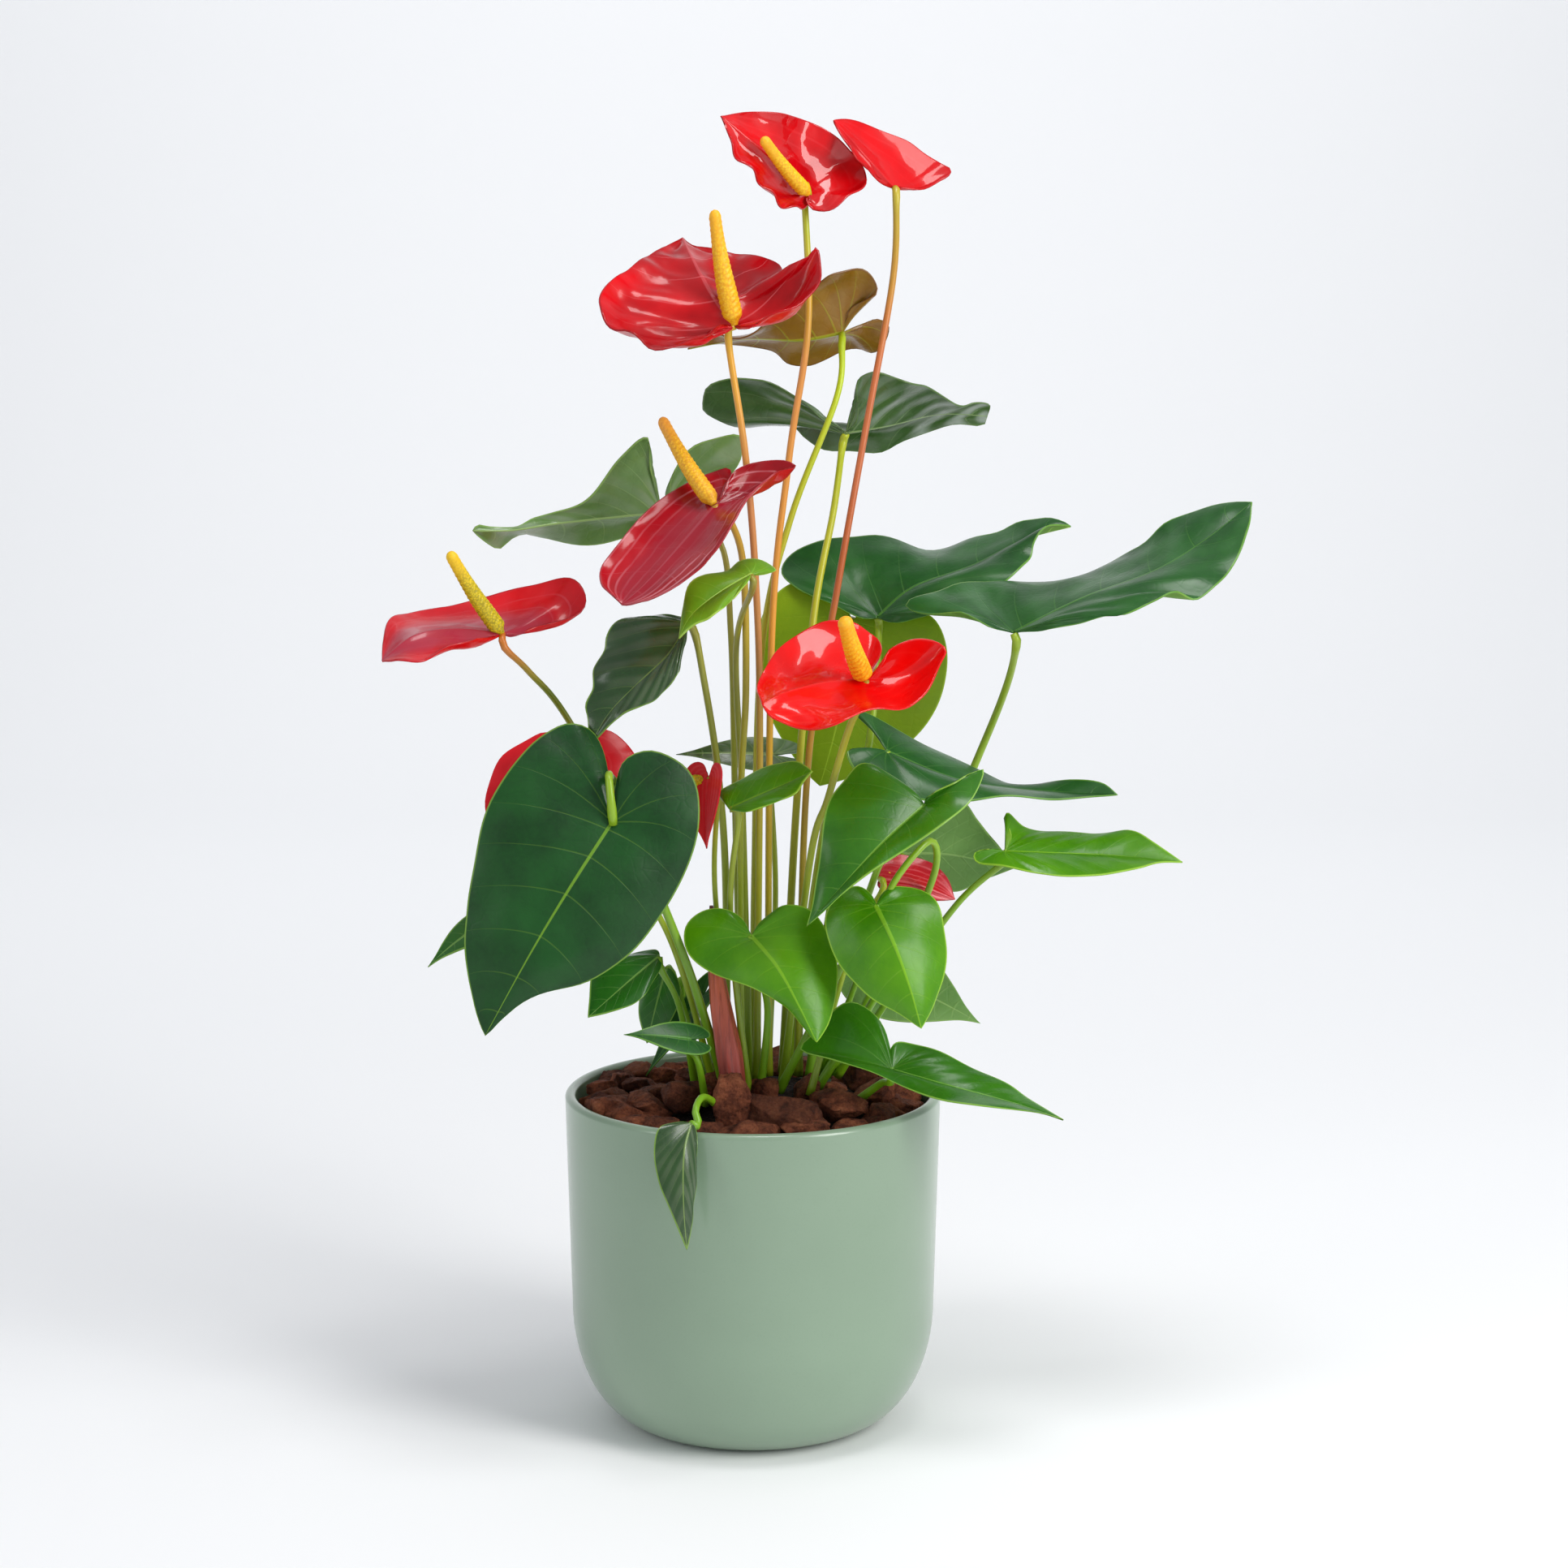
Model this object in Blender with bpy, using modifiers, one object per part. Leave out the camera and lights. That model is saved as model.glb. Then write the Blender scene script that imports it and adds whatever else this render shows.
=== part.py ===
"""Potted anthurium: a glazed pot filled with potting mix and topped with
bark, and the plant itself: heart-shaped leaves on long petioles, and flowers
made of a stem, a red spathe and a yellow spadix.

Frame: millimetres in the tables below, metres in the scene. The origin is
the centre of the pot's flat base, +Z is up and the plant's front is -Y."""
import bpy
import bmesh
import math
from mathutils import Vector

MM = 0.001

# ---------------------------------------------------------------- pot
POT_H = 178.0            # height of the rim above the floor
POT_R = 100.0            # outer radius at the rim
POT_R_LOW = 97.0         # outer radius where the bottom corner starts
CORNER_H = 63.0          # height of the rounded bottom corner
BASE_R = 58.0            # radius of the flat base
WALL = 6.0               # wall thickness at the rim
FLOOR_T = 9.0            # thickness of the pot's floor
GAP = 0.3                # play between neighbouring solids

# ---------------------------------------------------------------- filling
SOIL_EDGE_Z = 160.0      # potting mix at the wall
SOIL_TOP_Z = 180.0       # potting mix under the crown
CROWN = (8.0, 0.0)       # where the petioles come out
BARK_IN, BARK_OUT = 68.0, 92.5   # bark mulch ring, inner and outer radius
BARK_EDGE_Z, BARK_IN_Z = 170.0, 177.0

# ---------------------------------------------------------------- blades
LEAF_T = 0.9             # leaf blade thickness
SPATHE_T = 1.0           # spathe thickness
TUBE_SIDES = 1           # bevel resolution of petioles and stems

# half outline of a leaf and of a spathe: distance along the midrib as a part
# of the blade's length, and half width as a part of the full half width
LEAF_OUTLINE = [(1.0, 0.0), (0.93, 0.055), (0.80, 0.20), (0.62, 0.49), (0.42, 0.78), (0.22, 0.96),
                (0.04, 1.0), (-0.15, 0.93), (-0.28, 0.72), (-0.34, 0.45), (-0.29, 0.21)]
SPATHE_OUTLINE = [(1.0, 0.0), (0.94, 0.05), (0.82, 0.20), (0.62, 0.52), (0.40, 0.80), (0.2, 0.95),
                  (0.0, 1.0), (-0.14, 0.93), (-0.23, 0.70), (-0.25, 0.42), (-0.19, 0.2)]

# name, attachment point, tip, facing of the upper side (compass, elevation),
# width / length, droop of the midrib, fold of the left and right halves, curl
# of the margins, lift of the two basal lobes, stretch of the lobes,
# then the petiole's route from the crown, and its radii
LEAVES = [
    ('leaf_front_left', (-69, -88, 335), (-132, -104, 230), (-105, 25), 1.05, 35, (20, 45), 5, (55, 40), 1.4,
     [(-14, -22, 183), (-31, -44, 247), (-52, -62, 307), (-68, -76, 353)], (2.4, 1.9)),
    ('leaf_bronze_top', (47, 24, 577), (-34, 27, 569), (90, 50), 0.8, 10, (15, 25), -15, (35, 30), 1.0,
     [(0, 14, 184), (1, 10, 291), (5, 6, 413), (20, 5, 481), (44, 8, 544)], (2.0, 1.6)),
    ('leaf_upper_mid', (50, 60, 524), (128, 92, 533), (10, 30), 1.25, -30, (-20, 75), -40, (35, -5), 1.7,
     [(16, 14, 184), (23, 10, 326), (32, 16, 427), (43, 38, 484)], (2.2, 1.8)),
    ('leaf_upper_left', (-47, 8, 484), (-144, -15, 476), (75, 55), 0.85, -25, (15, 20), 5, (15, 65), 1.5,
     [(-6, 6, 184), (-9, -4, 328), (-11, -12, 423), (-17, -14, 471)], (1.9, 1.5)),
    ('leaf_mid_left_dark', (-32, -50, 431), (-81, -66, 371), (-140, 25), 1.2, 20, (25, 30), -5, (65, 55), 1.0,
     [(-14, 2, 184), (-14, -14, 295), (-18, -30, 357), (-25, -46, 407)], (2.1, 1.7)),
    ('leaf_mid_light', (0, -70, 457), (-35, -92, 427), (-135, 35), 0.8, 45, (15, 10), -15, (15, 10), 0.8,
     [(-2, 0, 184), (-5, -14, 330), (-8, -28, 416)], (1.9, 1.5)),
    ('leaf_right_upper', (67, 46, 426), (172, 65, 474), (-90, 65), 0.8, -25, (20, 30), -10, (35, 40), 1.1,
     [(31, 16, 184), (44, 10, 291), (59, 12, 348), (65, 18, 390)], (2.2, 1.8)),
    ('leaf_right_long', (135, -24, 424), (260, 0, 490), (-95, 80), 0.95, -30, (-5, 5), 0, (30, 40), 0.7,
     [(39, 9, 183), (80, 18, 259), (119, 26, 350), (133, 4, 392)], (2.3, 1.9)),
    ('leaf_back_light', (54, 58, 423), (36, 52, 334), (-90, 5), 1.25, 70, (5, 5), -45, (0, 0), 0.8,
     [(20, 36, 183), (34, 48, 285), (49, 66, 372)], (2.1, 1.7)),
    ('leaf_right_folded', (70, -20, 362), (191, -12, 338), (-90, 80), 0.42, 10, (38, 38), -5, (0, 0), 1.0,
     [(30, 0, 184), (44, -2, 293)], (2.0, 1.6)),
    ('leaf_centre_hang', (87, -72, 341), (28, -102, 285), (-120, 40), 1.0, 30, (35, 10), 0, (10, -15), 1.0,
     [(14, -26, 183), (48, -46, 258), (68, -68, 317)], (2.1, 1.7)),
    ('leaf_front_bright', (63, -80, 291), (85, -101, 233), (-95, 20), 1.1, 40, (-10, -20), -40, (-40, 20), 0.7,
     [(34, -20, 183), (71, -30, 246), (93, -50, 301), (91, -64, 322), (75, -74, 307)], (2.1, 1.7)),
    ('leaf_front_small', (0, -60, 272), (33, -88, 223), (-50, 35), 1.15, 60, (15, 5), -20, (-35, 30), 1.0,
     [(4, -28, 183), (8, -38, 231)], (2.0, 1.6)),
    ('leaf_right_bright', (131, -30, 311), (225, -16, 303), (-90, 60), 0.6, 15, (20, 25), -15, (15, 10), 0.7,
     [(45, 8, 183), (74, -6, 231), (107, -22, 282)], (2.0, 1.6)),
    ('leaf_pale_behind', (76, -12, 307), (139, -2, 298), (70, 45), 0.85, 20, (10, 10), -10, (0, 0), 1.0,
     [(37, 15, 183), (61, -4, 254)], (1.8, 1.5)),
    ('leaf_rim_right', (72, -58, 202), (158, -84, 182), (-75, 75), 0.65, 10, (15, 10), -10, (55, 35), 1.6,
     [(54, -34, 179), (67, -42, 191)], (1.9, 1.6)),
    ('leaf_low_pale', (69, 34, 234), (123, 30, 207), (-85, 30), 0.8, 15, (10, 10), -15, (0, 0), 1.0,
     [(44, 32, 182), (56, 33, 214)], (1.8, 1.5)),
    ('leaf_over_rim', (-30, -99, 184), (-32, -114, 123), (-125, 10), 0.6, 15, (40, 30), -10, (15, 25), 0.5,
     [(-14, -54, 179), (-24, -76, 192), (-28, -92, 189)], (1.9, 1.6)),
    ('leaf_left_low_a', (-48, -36, 257), (-84, -57, 229), (-155, 25), 1.0, 65, (-20, 40), -20, (-40, 10), 0.5,
     [(-30, -14, 182), (-38, -30, 229)], (1.8, 1.5)),
    ('leaf_left_low_b', (-46, -6, 244), (-56, -10, 205), (-120, 10), 0.85, 15, (25, 25), 0, (10, 35), 0.5,
     [(-26, -2, 183), (-35, -6, 218)], (1.7, 1.4)),
    ('leaf_left_low_c', (-37, 16, 235), (-37, 12, 210), (-120, 5), 0.75, 25, (30, 25), -5, (10, 15), 0.8,
     [(-18, 20, 183), (-28, 18, 215)], (1.5, 1.2)),
    ('leaf_blade_narrow', (-28, 4, 226), (-57, 0, 185), (-115, 20), 0.3, 10, (25, 25), -15, (0, 0), 1.0,
     [(-26, 8, 183), (-27, 6, 210)], (1.5, 1.2)),
    ('leaf_left_low_d', (-32, -58, 218), (-65, -70, 223), (-90, 35), 0.5, 20, (10, 10), -15, (0, 0), 1.0,
     [(-24, -44, 180), (-28, -51, 205)], (1.7, 1.4)),
    ('leaf_left_tip', (-138, -30, 274), (-167, -45, 253), (-120, 35), 0.55, 20, (10, 10), -15, (0, 0), 1.0,
     [(-24, 26, 182), (-56, 14, 224), (-102, -4, 254)], (1.7, 1.4)),
    ('leaf_mid_folded', (-11, -56, 337), (31, -61, 357), (-90, 70), 0.8, 25, (20, 15), -25, (5, 15), 0.5,
     [(-2, -30, 183), (-11, -44, 279)], (1.9, 1.5)),
    ('leaf_inner_small', (10, 28, 354), (-41, 22, 355), (-90, 35), 0.4, 15, (10, 10), -15, (0, 0), 1.0,
     [(8, 30, 184), (12, 26, 280)], (1.7, 1.4)),
]

# the same for a flower: spathe, then stem route and radii, then the spadix tip
# and the spadix's radii near its base and tip
FLOWERS = [
    ('flower1', (29, -6, 647), (-15, -35, 684), (-65, -15), 1.05, -30, (55, -5), 20, (50, 15), 1.2,
     [(8, 6, 184), (10, 1, 413), (19, -2, 511), (29, -5, 581)], (2.3, 1.8), (17, -37, 676), (4.6, 3.4)),
    ('flower2', (74, 12, 651), (101, -16, 656), (100, 45), 1.25, 55, (25, 30), 10, (30, -5), 1.1,
     [(24, 6, 184), (29, 2, 349), (44, -2, 443), (59, 6, 527), (73, 12, 604)], (2.3, 1.8), (83, 42, 679), (4.2, 3.0)),
    ('flower3', (-8, -42, 580), (-36, 14, 626), (-45, 30), 1.25, -30, (-20, 60), -10, (55, 10), 1.1,
     [(2, -8, 184), (4, -15, 372), (2, -28, 453), (-3, -38, 516)], (2.2, 1.8), (-18, -55, 637), (5.4, 3.2)),
    ('flower4', (-18, -58, 491), (-63, -96, 444), (-155, 20), 1.25, 35, (-20, 20), -10, (25, 5), 1.7,
     [(-6, -12, 184), (-6, -24, 331), (-3, -32, 395), (-4, -38, 458), (-10, -50, 482)], (2.2, 1.8), (-46, -26, 534), (4.8, 3.2)),
    ('flower5', (-127, -40, 425), (-184, -74, 414), (-165, 20), 1.25, 25, (-20, 65), -20, (90, 5), 1.7,
     [(-15, -6, 184), (-52, -19, 296), (-94, -22, 377), (-114, -35, 405)], (2.2, 1.7), (-151, -63, 468), (4.6, 3.2)),
    ('flower6', (-94, -44, 357), (-136, -53, 350), (-105, 60), 1.25, 60, (-20, 75), 5, (35, -40), 1.7,
     [(-20, -16, 183), (-44, -40, 271), (-83, -52, 331)], (2.0, 1.6), (-110, -72, 369), (4.2, 3.2)),
    ('flower7', (57, -76, 405), (6, -108, 396), (-140, 45), 1.25, -10, (-20, 40), 10, (70, -15), 1.7,
     [(16, -14, 184), (30, -36, 307), (39, -48, 341), (50, -66, 381)], (2.3, 1.9), (46, -104, 438), (5.4, 4.0)),
    ('flower8', (-22, -42, 350), (-23, -46, 315), (-130, 20), 0.75, 15, (20, 20), 0, (0, 0), 1.0,
     [(-8, -24, 183), (-19, -38, 291)], (1.7, 1.4), (-31, -55, 350), (4.0, 3.2)),
    ('flower9', (66, -44, 299), (105, -37, 287), (80, 30), 0.95, 20, (-5, 0), -5, (10, 0), 0.7,
     [(30, -31, 182), (52, -26, 260)], (1.8, 1.5), (73, -29, 310), (4.0, 3.2)),
]

# the pink sheath leaf at the crown: route and radii
SHEATH = [((-9, -39, 180.5), 6.0), ((-12, -38, 205), 6.6), ((-17, -38, 235), 5.2), ((-20, -38, 262), 3.2), ((-21, -38, 284), 0.9)]

# loose bark chips lying on the mulch: centre, size, turn in degrees
CHIPS = [('bark_chip_left', (-72, -34, 182.5), (34, 22, 11), 25),
         ('bark_chip_front', (22, -72, 182.0), (36, 20, 12), -12),
         ('bark_chip_right', (76, 16, 183.0), (26, 18, 10), 70)]


def clear_scene():
    for ob in list(bpy.data.objects):
        bpy.data.objects.remove(ob, do_unlink=True)


def collection(name):
    col = bpy.data.collections.new(name)
    bpy.context.scene.collection.children.link(col)
    return col


def material(name, colour, rough, coat=0.0):
    m = bpy.data.materials.new(name)
    m.use_nodes = True
    b = m.node_tree.nodes['Principled BSDF']
    b.inputs['Base Color'].default_value = (*colour, 1.0)
    b.inputs['Roughness'].default_value = rough
    b.inputs['Metallic'].default_value = 0.0
    b.inputs['Coat Weight'].default_value = coat
    return m


def add(name, data, mat, col):
    ob = bpy.data.objects.new(name, data)
    col.objects.link(ob)
    if mat:
        data.materials.append(mat)
    return ob


def smooth_chain(points, n):
    """n points at even steps along a smooth curve through the given points"""
    m = len(points)
    out = []
    for i in range(n):
        t = i / (n - 1) * (m - 1)
        k = min(int(t), m - 2)
        f = t - k
        p0 = points[max(k - 1, 0)]
        p1, p2 = points[k], points[k + 1]
        p3 = points[min(k + 2, m - 1)]
        out.append([0.5 * (2 * b + (c - a) * f + (2 * a - 5 * b + 4 * c - d) * f * f
                           + (3 * b - a - 3 * c + d) * f ** 3) for a, b, c, d in zip(p0, p1, p2, p3)])
    return out


class Blade:
    """A heart-shaped sheet between an attachment point and a tip."""

    def __init__(self, outline, attach, tip, facing, width, bend, folds, curl, lifts, lobe):
        self.outline = outline
        self.a = Vector(attach)
        self.folds = [math.radians(f) for f in folds]
        self.curl = math.radians(curl) if abs(curl) > 0.1 else 0.001
        self.lifts = [math.radians(f) for f in lifts]
        self.lobe = lobe
        n = 60
        self.mid = [(0.0, 0.0, 0.0)]
        x = z = 0.0
        for i in range(n):
            ang = math.radians(bend) * ((i + 0.5) / n) ** 1.3
            x += math.cos(ang) / n
            z -= math.sin(ang) / n
            self.mid.append((x, z, math.radians(bend) * ((i + 1) / n) ** 1.3))
        chord = Vector(tip) - self.a
        reach = math.hypot(x, z)
        self.length = chord.length / reach
        self.half = width / 2
        az, el = math.radians(facing[0]), math.radians(facing[1])
        face = Vector((math.cos(el) * math.cos(az), math.cos(el) * math.sin(az), math.sin(el)))
        e1 = chord.normalized()
        e3 = (face - e1 * face.dot(e1)).normalized()
        e2 = e3.cross(e1)
        # local x and z axes once the bent midrib's chord lies along e1
        cx, cz = x / reach, z / reach
        self.ex = e1 * cx - e3 * cz
        self.ez = e1 * cz + e3 * cx
        self.ey = e2

    def point(self, u, v, off=0.0):
        side = 0 if v >= 0 else 1
        if u < 0:
            un = -u * self.lobe
            k = self.lifts[side] / 0.33
            if abs(k) < 1e-4:
                k = 1e-4
            x, z, ang = -math.sin(k * un) / k, (1 - math.cos(k * un)) / k, k * un
        else:
            f = min(u, 1.0) * (len(self.mid) - 1)
            i = min(int(f), len(self.mid) - 2)
            g = f - i
            x, z, ang = [p + (q - p) * g for p, q in zip(self.mid[i], self.mid[i + 1])]
        w = abs(v)
        fo, cu, h = self.folds[side], self.curl, self.half
        y = h / cu * (math.sin(fo + cu * w) - math.sin(fo)) * (1 if v >= 0 else -1)
        up = h / cu * (math.cos(fo) - math.cos(fo + cu * w)) + off / self.length
        return self.a + (self.ex * (x + up * math.sin(ang)) + self.ey * y
                         + self.ez * (z + up * math.cos(ang))) * self.length

    def object(self, name, half_sectors, rings, thick, mat, col):
        half = smooth_chain(self.outline, half_sectors + 1)
        rim = [(u, max(v, 0)) for u, v in reversed(half)] + [(u, -max(v, 0)) for u, v in half[1:]]
        m = len(rim) - 1
        bm = bmesh.new()
        bmesh.ops.create_grid(bm, x_segments=m, y_segments=rings, size=1.0)
        centre = []
        for v in bm.verts:
            i = round((v.co.x + 1) / 2 * m)
            r = (v.co.y + 1) / 2
            if r < 1e-4:
                centre.append(v)
            v.co = self.point(rim[i][0] * r, rim[i][1] * r) * MM
        bmesh.ops.remove_doubles(bm, verts=centre, dist=1e-6)
        me = bpy.data.meshes.new(name)
        bm.to_mesh(me)
        bm.free()
        ob = add(name, me, mat, col)
        mod = ob.modifiers.new('thickness', 'SOLIDIFY')
        mod.thickness = thick * MM
        mod.offset = 0.0
        return ob


def tube(name, points, radii, mat, col, per=3):
    """a round stem through the given points, with filled caps"""
    n = max(4, per * (len(points) - 1) + 1)
    chain = smooth_chain(points, n)
    cu = bpy.data.curves.new(name, 'CURVE')
    cu.dimensions = '3D'
    cu.bevel_depth = MM
    cu.bevel_resolution = TUBE_SIDES
    cu.use_fill_caps = True
    sp = cu.splines.new('POLY')
    sp.points.add(n - 1)
    for i, p in enumerate(chain):
        sp.points[i].co = (p[0] * MM, p[1] * MM, p[2] * MM, 1.0)
        r = smooth_chain([(q,) for q in radii], n)[i][0] if len(radii) > 2 else radii[0] + (radii[1] - radii[0]) * i / (n - 1)
        sp.points[i].radius = r
    return add(name, cu, mat, col)


def as_mesh(ob, col):
    """the stem as a closed mesh, so that a blade can be joined to it"""
    dg = bpy.context.evaluated_depsgraph_get()
    me = bpy.data.meshes.new_from_object(ob.evaluated_get(dg))
    bm = bmesh.new()
    bm.from_mesh(me)
    bmesh.ops.remove_doubles(bm, verts=bm.verts, dist=1e-6)
    bmesh.ops.recalc_face_normals(bm, faces=bm.faces)
    bm.to_mesh(me)
    bm.free()
    name = ob.name
    bpy.data.objects.remove(ob, do_unlink=True)
    new = bpy.data.objects.new(name, me)
    col.objects.link(new)
    new.hide_render = True
    new.display_type = 'WIRE'
    return new


def turned(name, profile, steps, mat, col):
    """a solid of revolution about Z from a profile of (radius, height)"""
    me = bpy.data.meshes.new(name)
    bm = bmesh.new()
    vs = [bm.verts.new((r * MM, 0, z * MM)) for r, z in profile]
    for a, b in zip(vs, vs[1:]):
        bm.edges.new((a, b))
    bm.to_mesh(me)
    bm.free()
    ob = add(name, me, mat, col)
    mod = ob.modifiers.new('turn', 'SCREW')
    mod.axis = 'Z'
    mod.steps = steps
    mod.render_steps = steps
    mod.use_merge_vertices = True
    mod.merge_threshold = 1e-5
    mod.use_normal_calculate = True
    return ob


def pot_radius(z):
    if z >= CORNER_H:
        return POT_R_LOW + (POT_R - POT_R_LOW) * (z - CORNER_H) / (POT_H - CORNER_H)
    return BASE_R + (POT_R_LOW - BASE_R) * math.sqrt(max(0.0, 1 - (1 - z / CORNER_H) ** 2))


def noise(a, b, k):
    s = math.sin(a * 12.9898 + b * 78.233 + k * 37.719) * 43758.5453
    return s - math.floor(s)


def soil_height(r):
    return SOIL_EDGE_Z + (SOIL_TOP_Z - SOIL_EDGE_Z) * (1 - min(1.0, r / (POT_R - WALL)) ** 2.5)


def build():
    clear_scene()
    parts, helpers = collection('anthurium'), collection('helpers')
    glaze = material('pot', (0.26, 0.36, 0.27), 0.28, 0.4)
    soil_m = material('soil', (0.03, 0.018, 0.012), 0.95)
    bark_m = material('bark', (0.13, 0.045, 0.025), 0.85)
    leaf_m = material('leaf', (0.045, 0.16, 0.035), 0.35)
    bronze_m = material('bronze_leaf', (0.28, 0.15, 0.03), 0.4)
    stem_m = material('stem', (0.35, 0.25, 0.03), 0.45)
    spathe_m = material('spathe', (0.6, 0.012, 0.018), 0.18, 0.6)
    spadix_m = material('spadix', (0.8, 0.45, 0.03), 0.6)
    sheath_m = material('sheath', (0.5, 0.10, 0.07), 0.5)

    # pot: outer wall, rounded lip, inner wall and floor in one profile
    wall = [(0.0, 0.0), (BASE_R, 0.0)]
    for i in range(1, 8):
        a = math.radians(90 * i / 7)
        wall.append((BASE_R + (POT_R_LOW - BASE_R) * math.sin(a), CORNER_H * (1 - math.cos(a))))
    lip = WALL / 2
    for a in (0, 45, 90, 135, 180):
        wall.append((POT_R - lip + lip * math.cos(math.radians(a)), POT_H - lip + lip * math.sin(math.radians(a))))
    inner = []
    for i in range(6, 0, -1):
        a = math.radians(90 * i / 6)
        inner.append((BASE_R - 6 + (POT_R_LOW - BASE_R) * math.sin(a), FLOOR_T + (CORNER_H - 2) * (1 - math.cos(a))))
    inner.append((BASE_R - 6, FLOOR_T))
    turned('pot', wall + inner + [(0.0, FLOOR_T)], 44, glaze, parts)

    # potting mix: fills the pot up to a low mound
    mix = [(0.0, FLOOR_T + GAP), (BASE_R - 6 - GAP, FLOOR_T + GAP)]
    for r, z in reversed(inner[:-1]):
        mix.append((r - GAP - 0.2, z + GAP))
    rim_r = POT_R - WALL - GAP - 0.4
    mix.append((rim_r, SOIL_EDGE_Z))
    for r in (80, 66, 50, 34, 16):
        mix.append((r, soil_height(r)))
    mix.append((0.0, SOIL_TOP_Z))
    turned('potting_mix', mix, 32, soil_m, parts)

    # bark mulch: a rough ring round the crown
    bpy.ops.mesh.primitive_torus_add(major_segments=40, minor_segments=8, major_radius=1.0, minor_radius=0.25)
    ring = bpy.context.object
    ring.name = ring.data.name = 'bark_mulch'
    for c in list(ring.users_collection):
        c.objects.unlink(ring)
    parts.objects.link(ring)
    ring.data.materials.append(bark_m)
    mid, half = (BARK_IN + BARK_OUT) / 2, (BARK_OUT - BARK_IN) / 2
    for v in ring.data.vertices:
        th = math.atan2(v.co.y, v.co.x)
        d = (math.hypot(v.co.x, v.co.y) - 1.0) / 0.25
        s = v.co.z / 0.25
        r = mid + half * d
        lo = soil_height(r) + 1.2
        k = round(th * 20 / math.pi)
        bump = 3.0 * noise(k, round(d * 4), 1) * (1 if s > 0.3 else 0)
        hi = BARK_IN_Z + (BARK_EDGE_Z - BARK_IN_Z) * (r - BARK_IN) / (BARK_OUT - BARK_IN)
        z = lo if s < -0.3 else (lo + 2.5 if s < 0.3 else hi + bump - 2)
        v.co = (r * math.cos(th) * MM, r * math.sin(th) * MM, max(z, lo + (0 if s < -0.3 else 2.0)) * MM)

    for k, (name, at, size, turn) in enumerate(CHIPS):
        bpy.ops.mesh.primitive_ico_sphere_add(subdivisions=2, radius=1.0)
        chip = bpy.context.object
        chip.name = chip.data.name = name
        for c in list(chip.users_collection):
            c.objects.unlink(chip)
        parts.objects.link(chip)
        chip.data.materials.append(bark_m)
        ca, sa = math.cos(math.radians(turn)), math.sin(math.radians(turn))
        for i, v in enumerate(chip.data.vertices):
            q = 0.86 + 0.2 * noise(i, k, 3)
            p = [math.copysign(abs(c) ** 0.8, c) * q * s / 2 for c, s in zip(v.co, size)]
            v.co = ((at[0] + p[0] * ca - p[1] * sa) * MM, (at[1] + p[0] * sa + p[1] * ca) * MM, (at[2] + p[2]) * MM)

    tube('cataphyll', [p for p, r in SHEATH], [r for p, r in SHEATH], sheath_m, parts, per=2)

    for name, at, tip, facing, width, bend, folds, curl, lifts, lobe, route, radii in LEAVES:
        blade = Blade(LEAF_OUTLINE, at, tip, facing, width, bend, folds, curl, lifts, lobe)
        big = blade.length > 75
        ob = blade.object(name, 10 if big else 8, 3 if big else 2, LEAF_T,
                          bronze_m if 'bronze' in name else leaf_m, parts)
        # the petiole ends just above the blade, so that the two join
        end = blade.point(0.015, 0.0, 1.6)
        short = blade.point(0.0, 0.0, -7.0)
        pet = as_mesh(tube(name + '_petiole', route + [tuple(short), tuple(end)], [radii[0], radii[1]], None, helpers), helpers)
        union = ob.modifiers.new('petiole', 'BOOLEAN')
        union.operation = 'UNION'
        union.solver = 'EXACT'
        union.object = pet

    for name, at, tip, facing, width, bend, folds, curl, lifts, lobe, route, radii, top, fat in FLOWERS:
        blade = Blade(SPATHE_OUTLINE, at, tip, facing, width, bend, folds, curl, lifts, lobe)
        blade.object(name + '_spathe', 9, 2 if blade.length < 60 else 3, SPATHE_T, spathe_m, parts)
        end = blade.point(0.0, 0.0, -SPATHE_T / 2 - 1.4)
        short = blade.point(0.0, 0.0, -8.0)
        pts = route + [tuple(short), tuple(end)]
        k = len(pts)
        tube(name + '_stem', pts, [radii[0]] + [radii[1]] * (k - 2) + [0.7], stem_m, parts)
        # spadix: a turned club from just above the spathe
        axis = Vector(top) - blade.a
        start = 2.8
        ln = axis.length - start
        prof = [(0.0, 0.0), (1.2, 0.0), (1.8, ln * 0.08), (fat[0], ln * 0.22), (fat[0], ln * 0.45),
                (fat[1] * 1.05, ln * 0.88), (fat[1] * 0.7, ln * 0.97), (0.0, ln)]
        ob = turned(name + '_spadix', prof, 10, spadix_m, parts)
        ob.location = (blade.a + axis.normalized() * start) * MM
        ob.rotation_mode = 'QUATERNION'
        ob.rotation_quaternion = axis.to_track_quat('Z', 'Y')


build()
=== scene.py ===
"""Potted anthurium: the looks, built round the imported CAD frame.

Tables are in millimetres in the row frame: the origin is the centre of the
pot's flat base, +Z is up and the viewed front is -Y. Each blade is a sheet
between a midrib and two margins, with its veins running from the midrib to
the margin; petioles and stems are smooth tubes; bark is a heap of chips."""
import bpy
import math
import random
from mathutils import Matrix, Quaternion, Vector, noise


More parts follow.
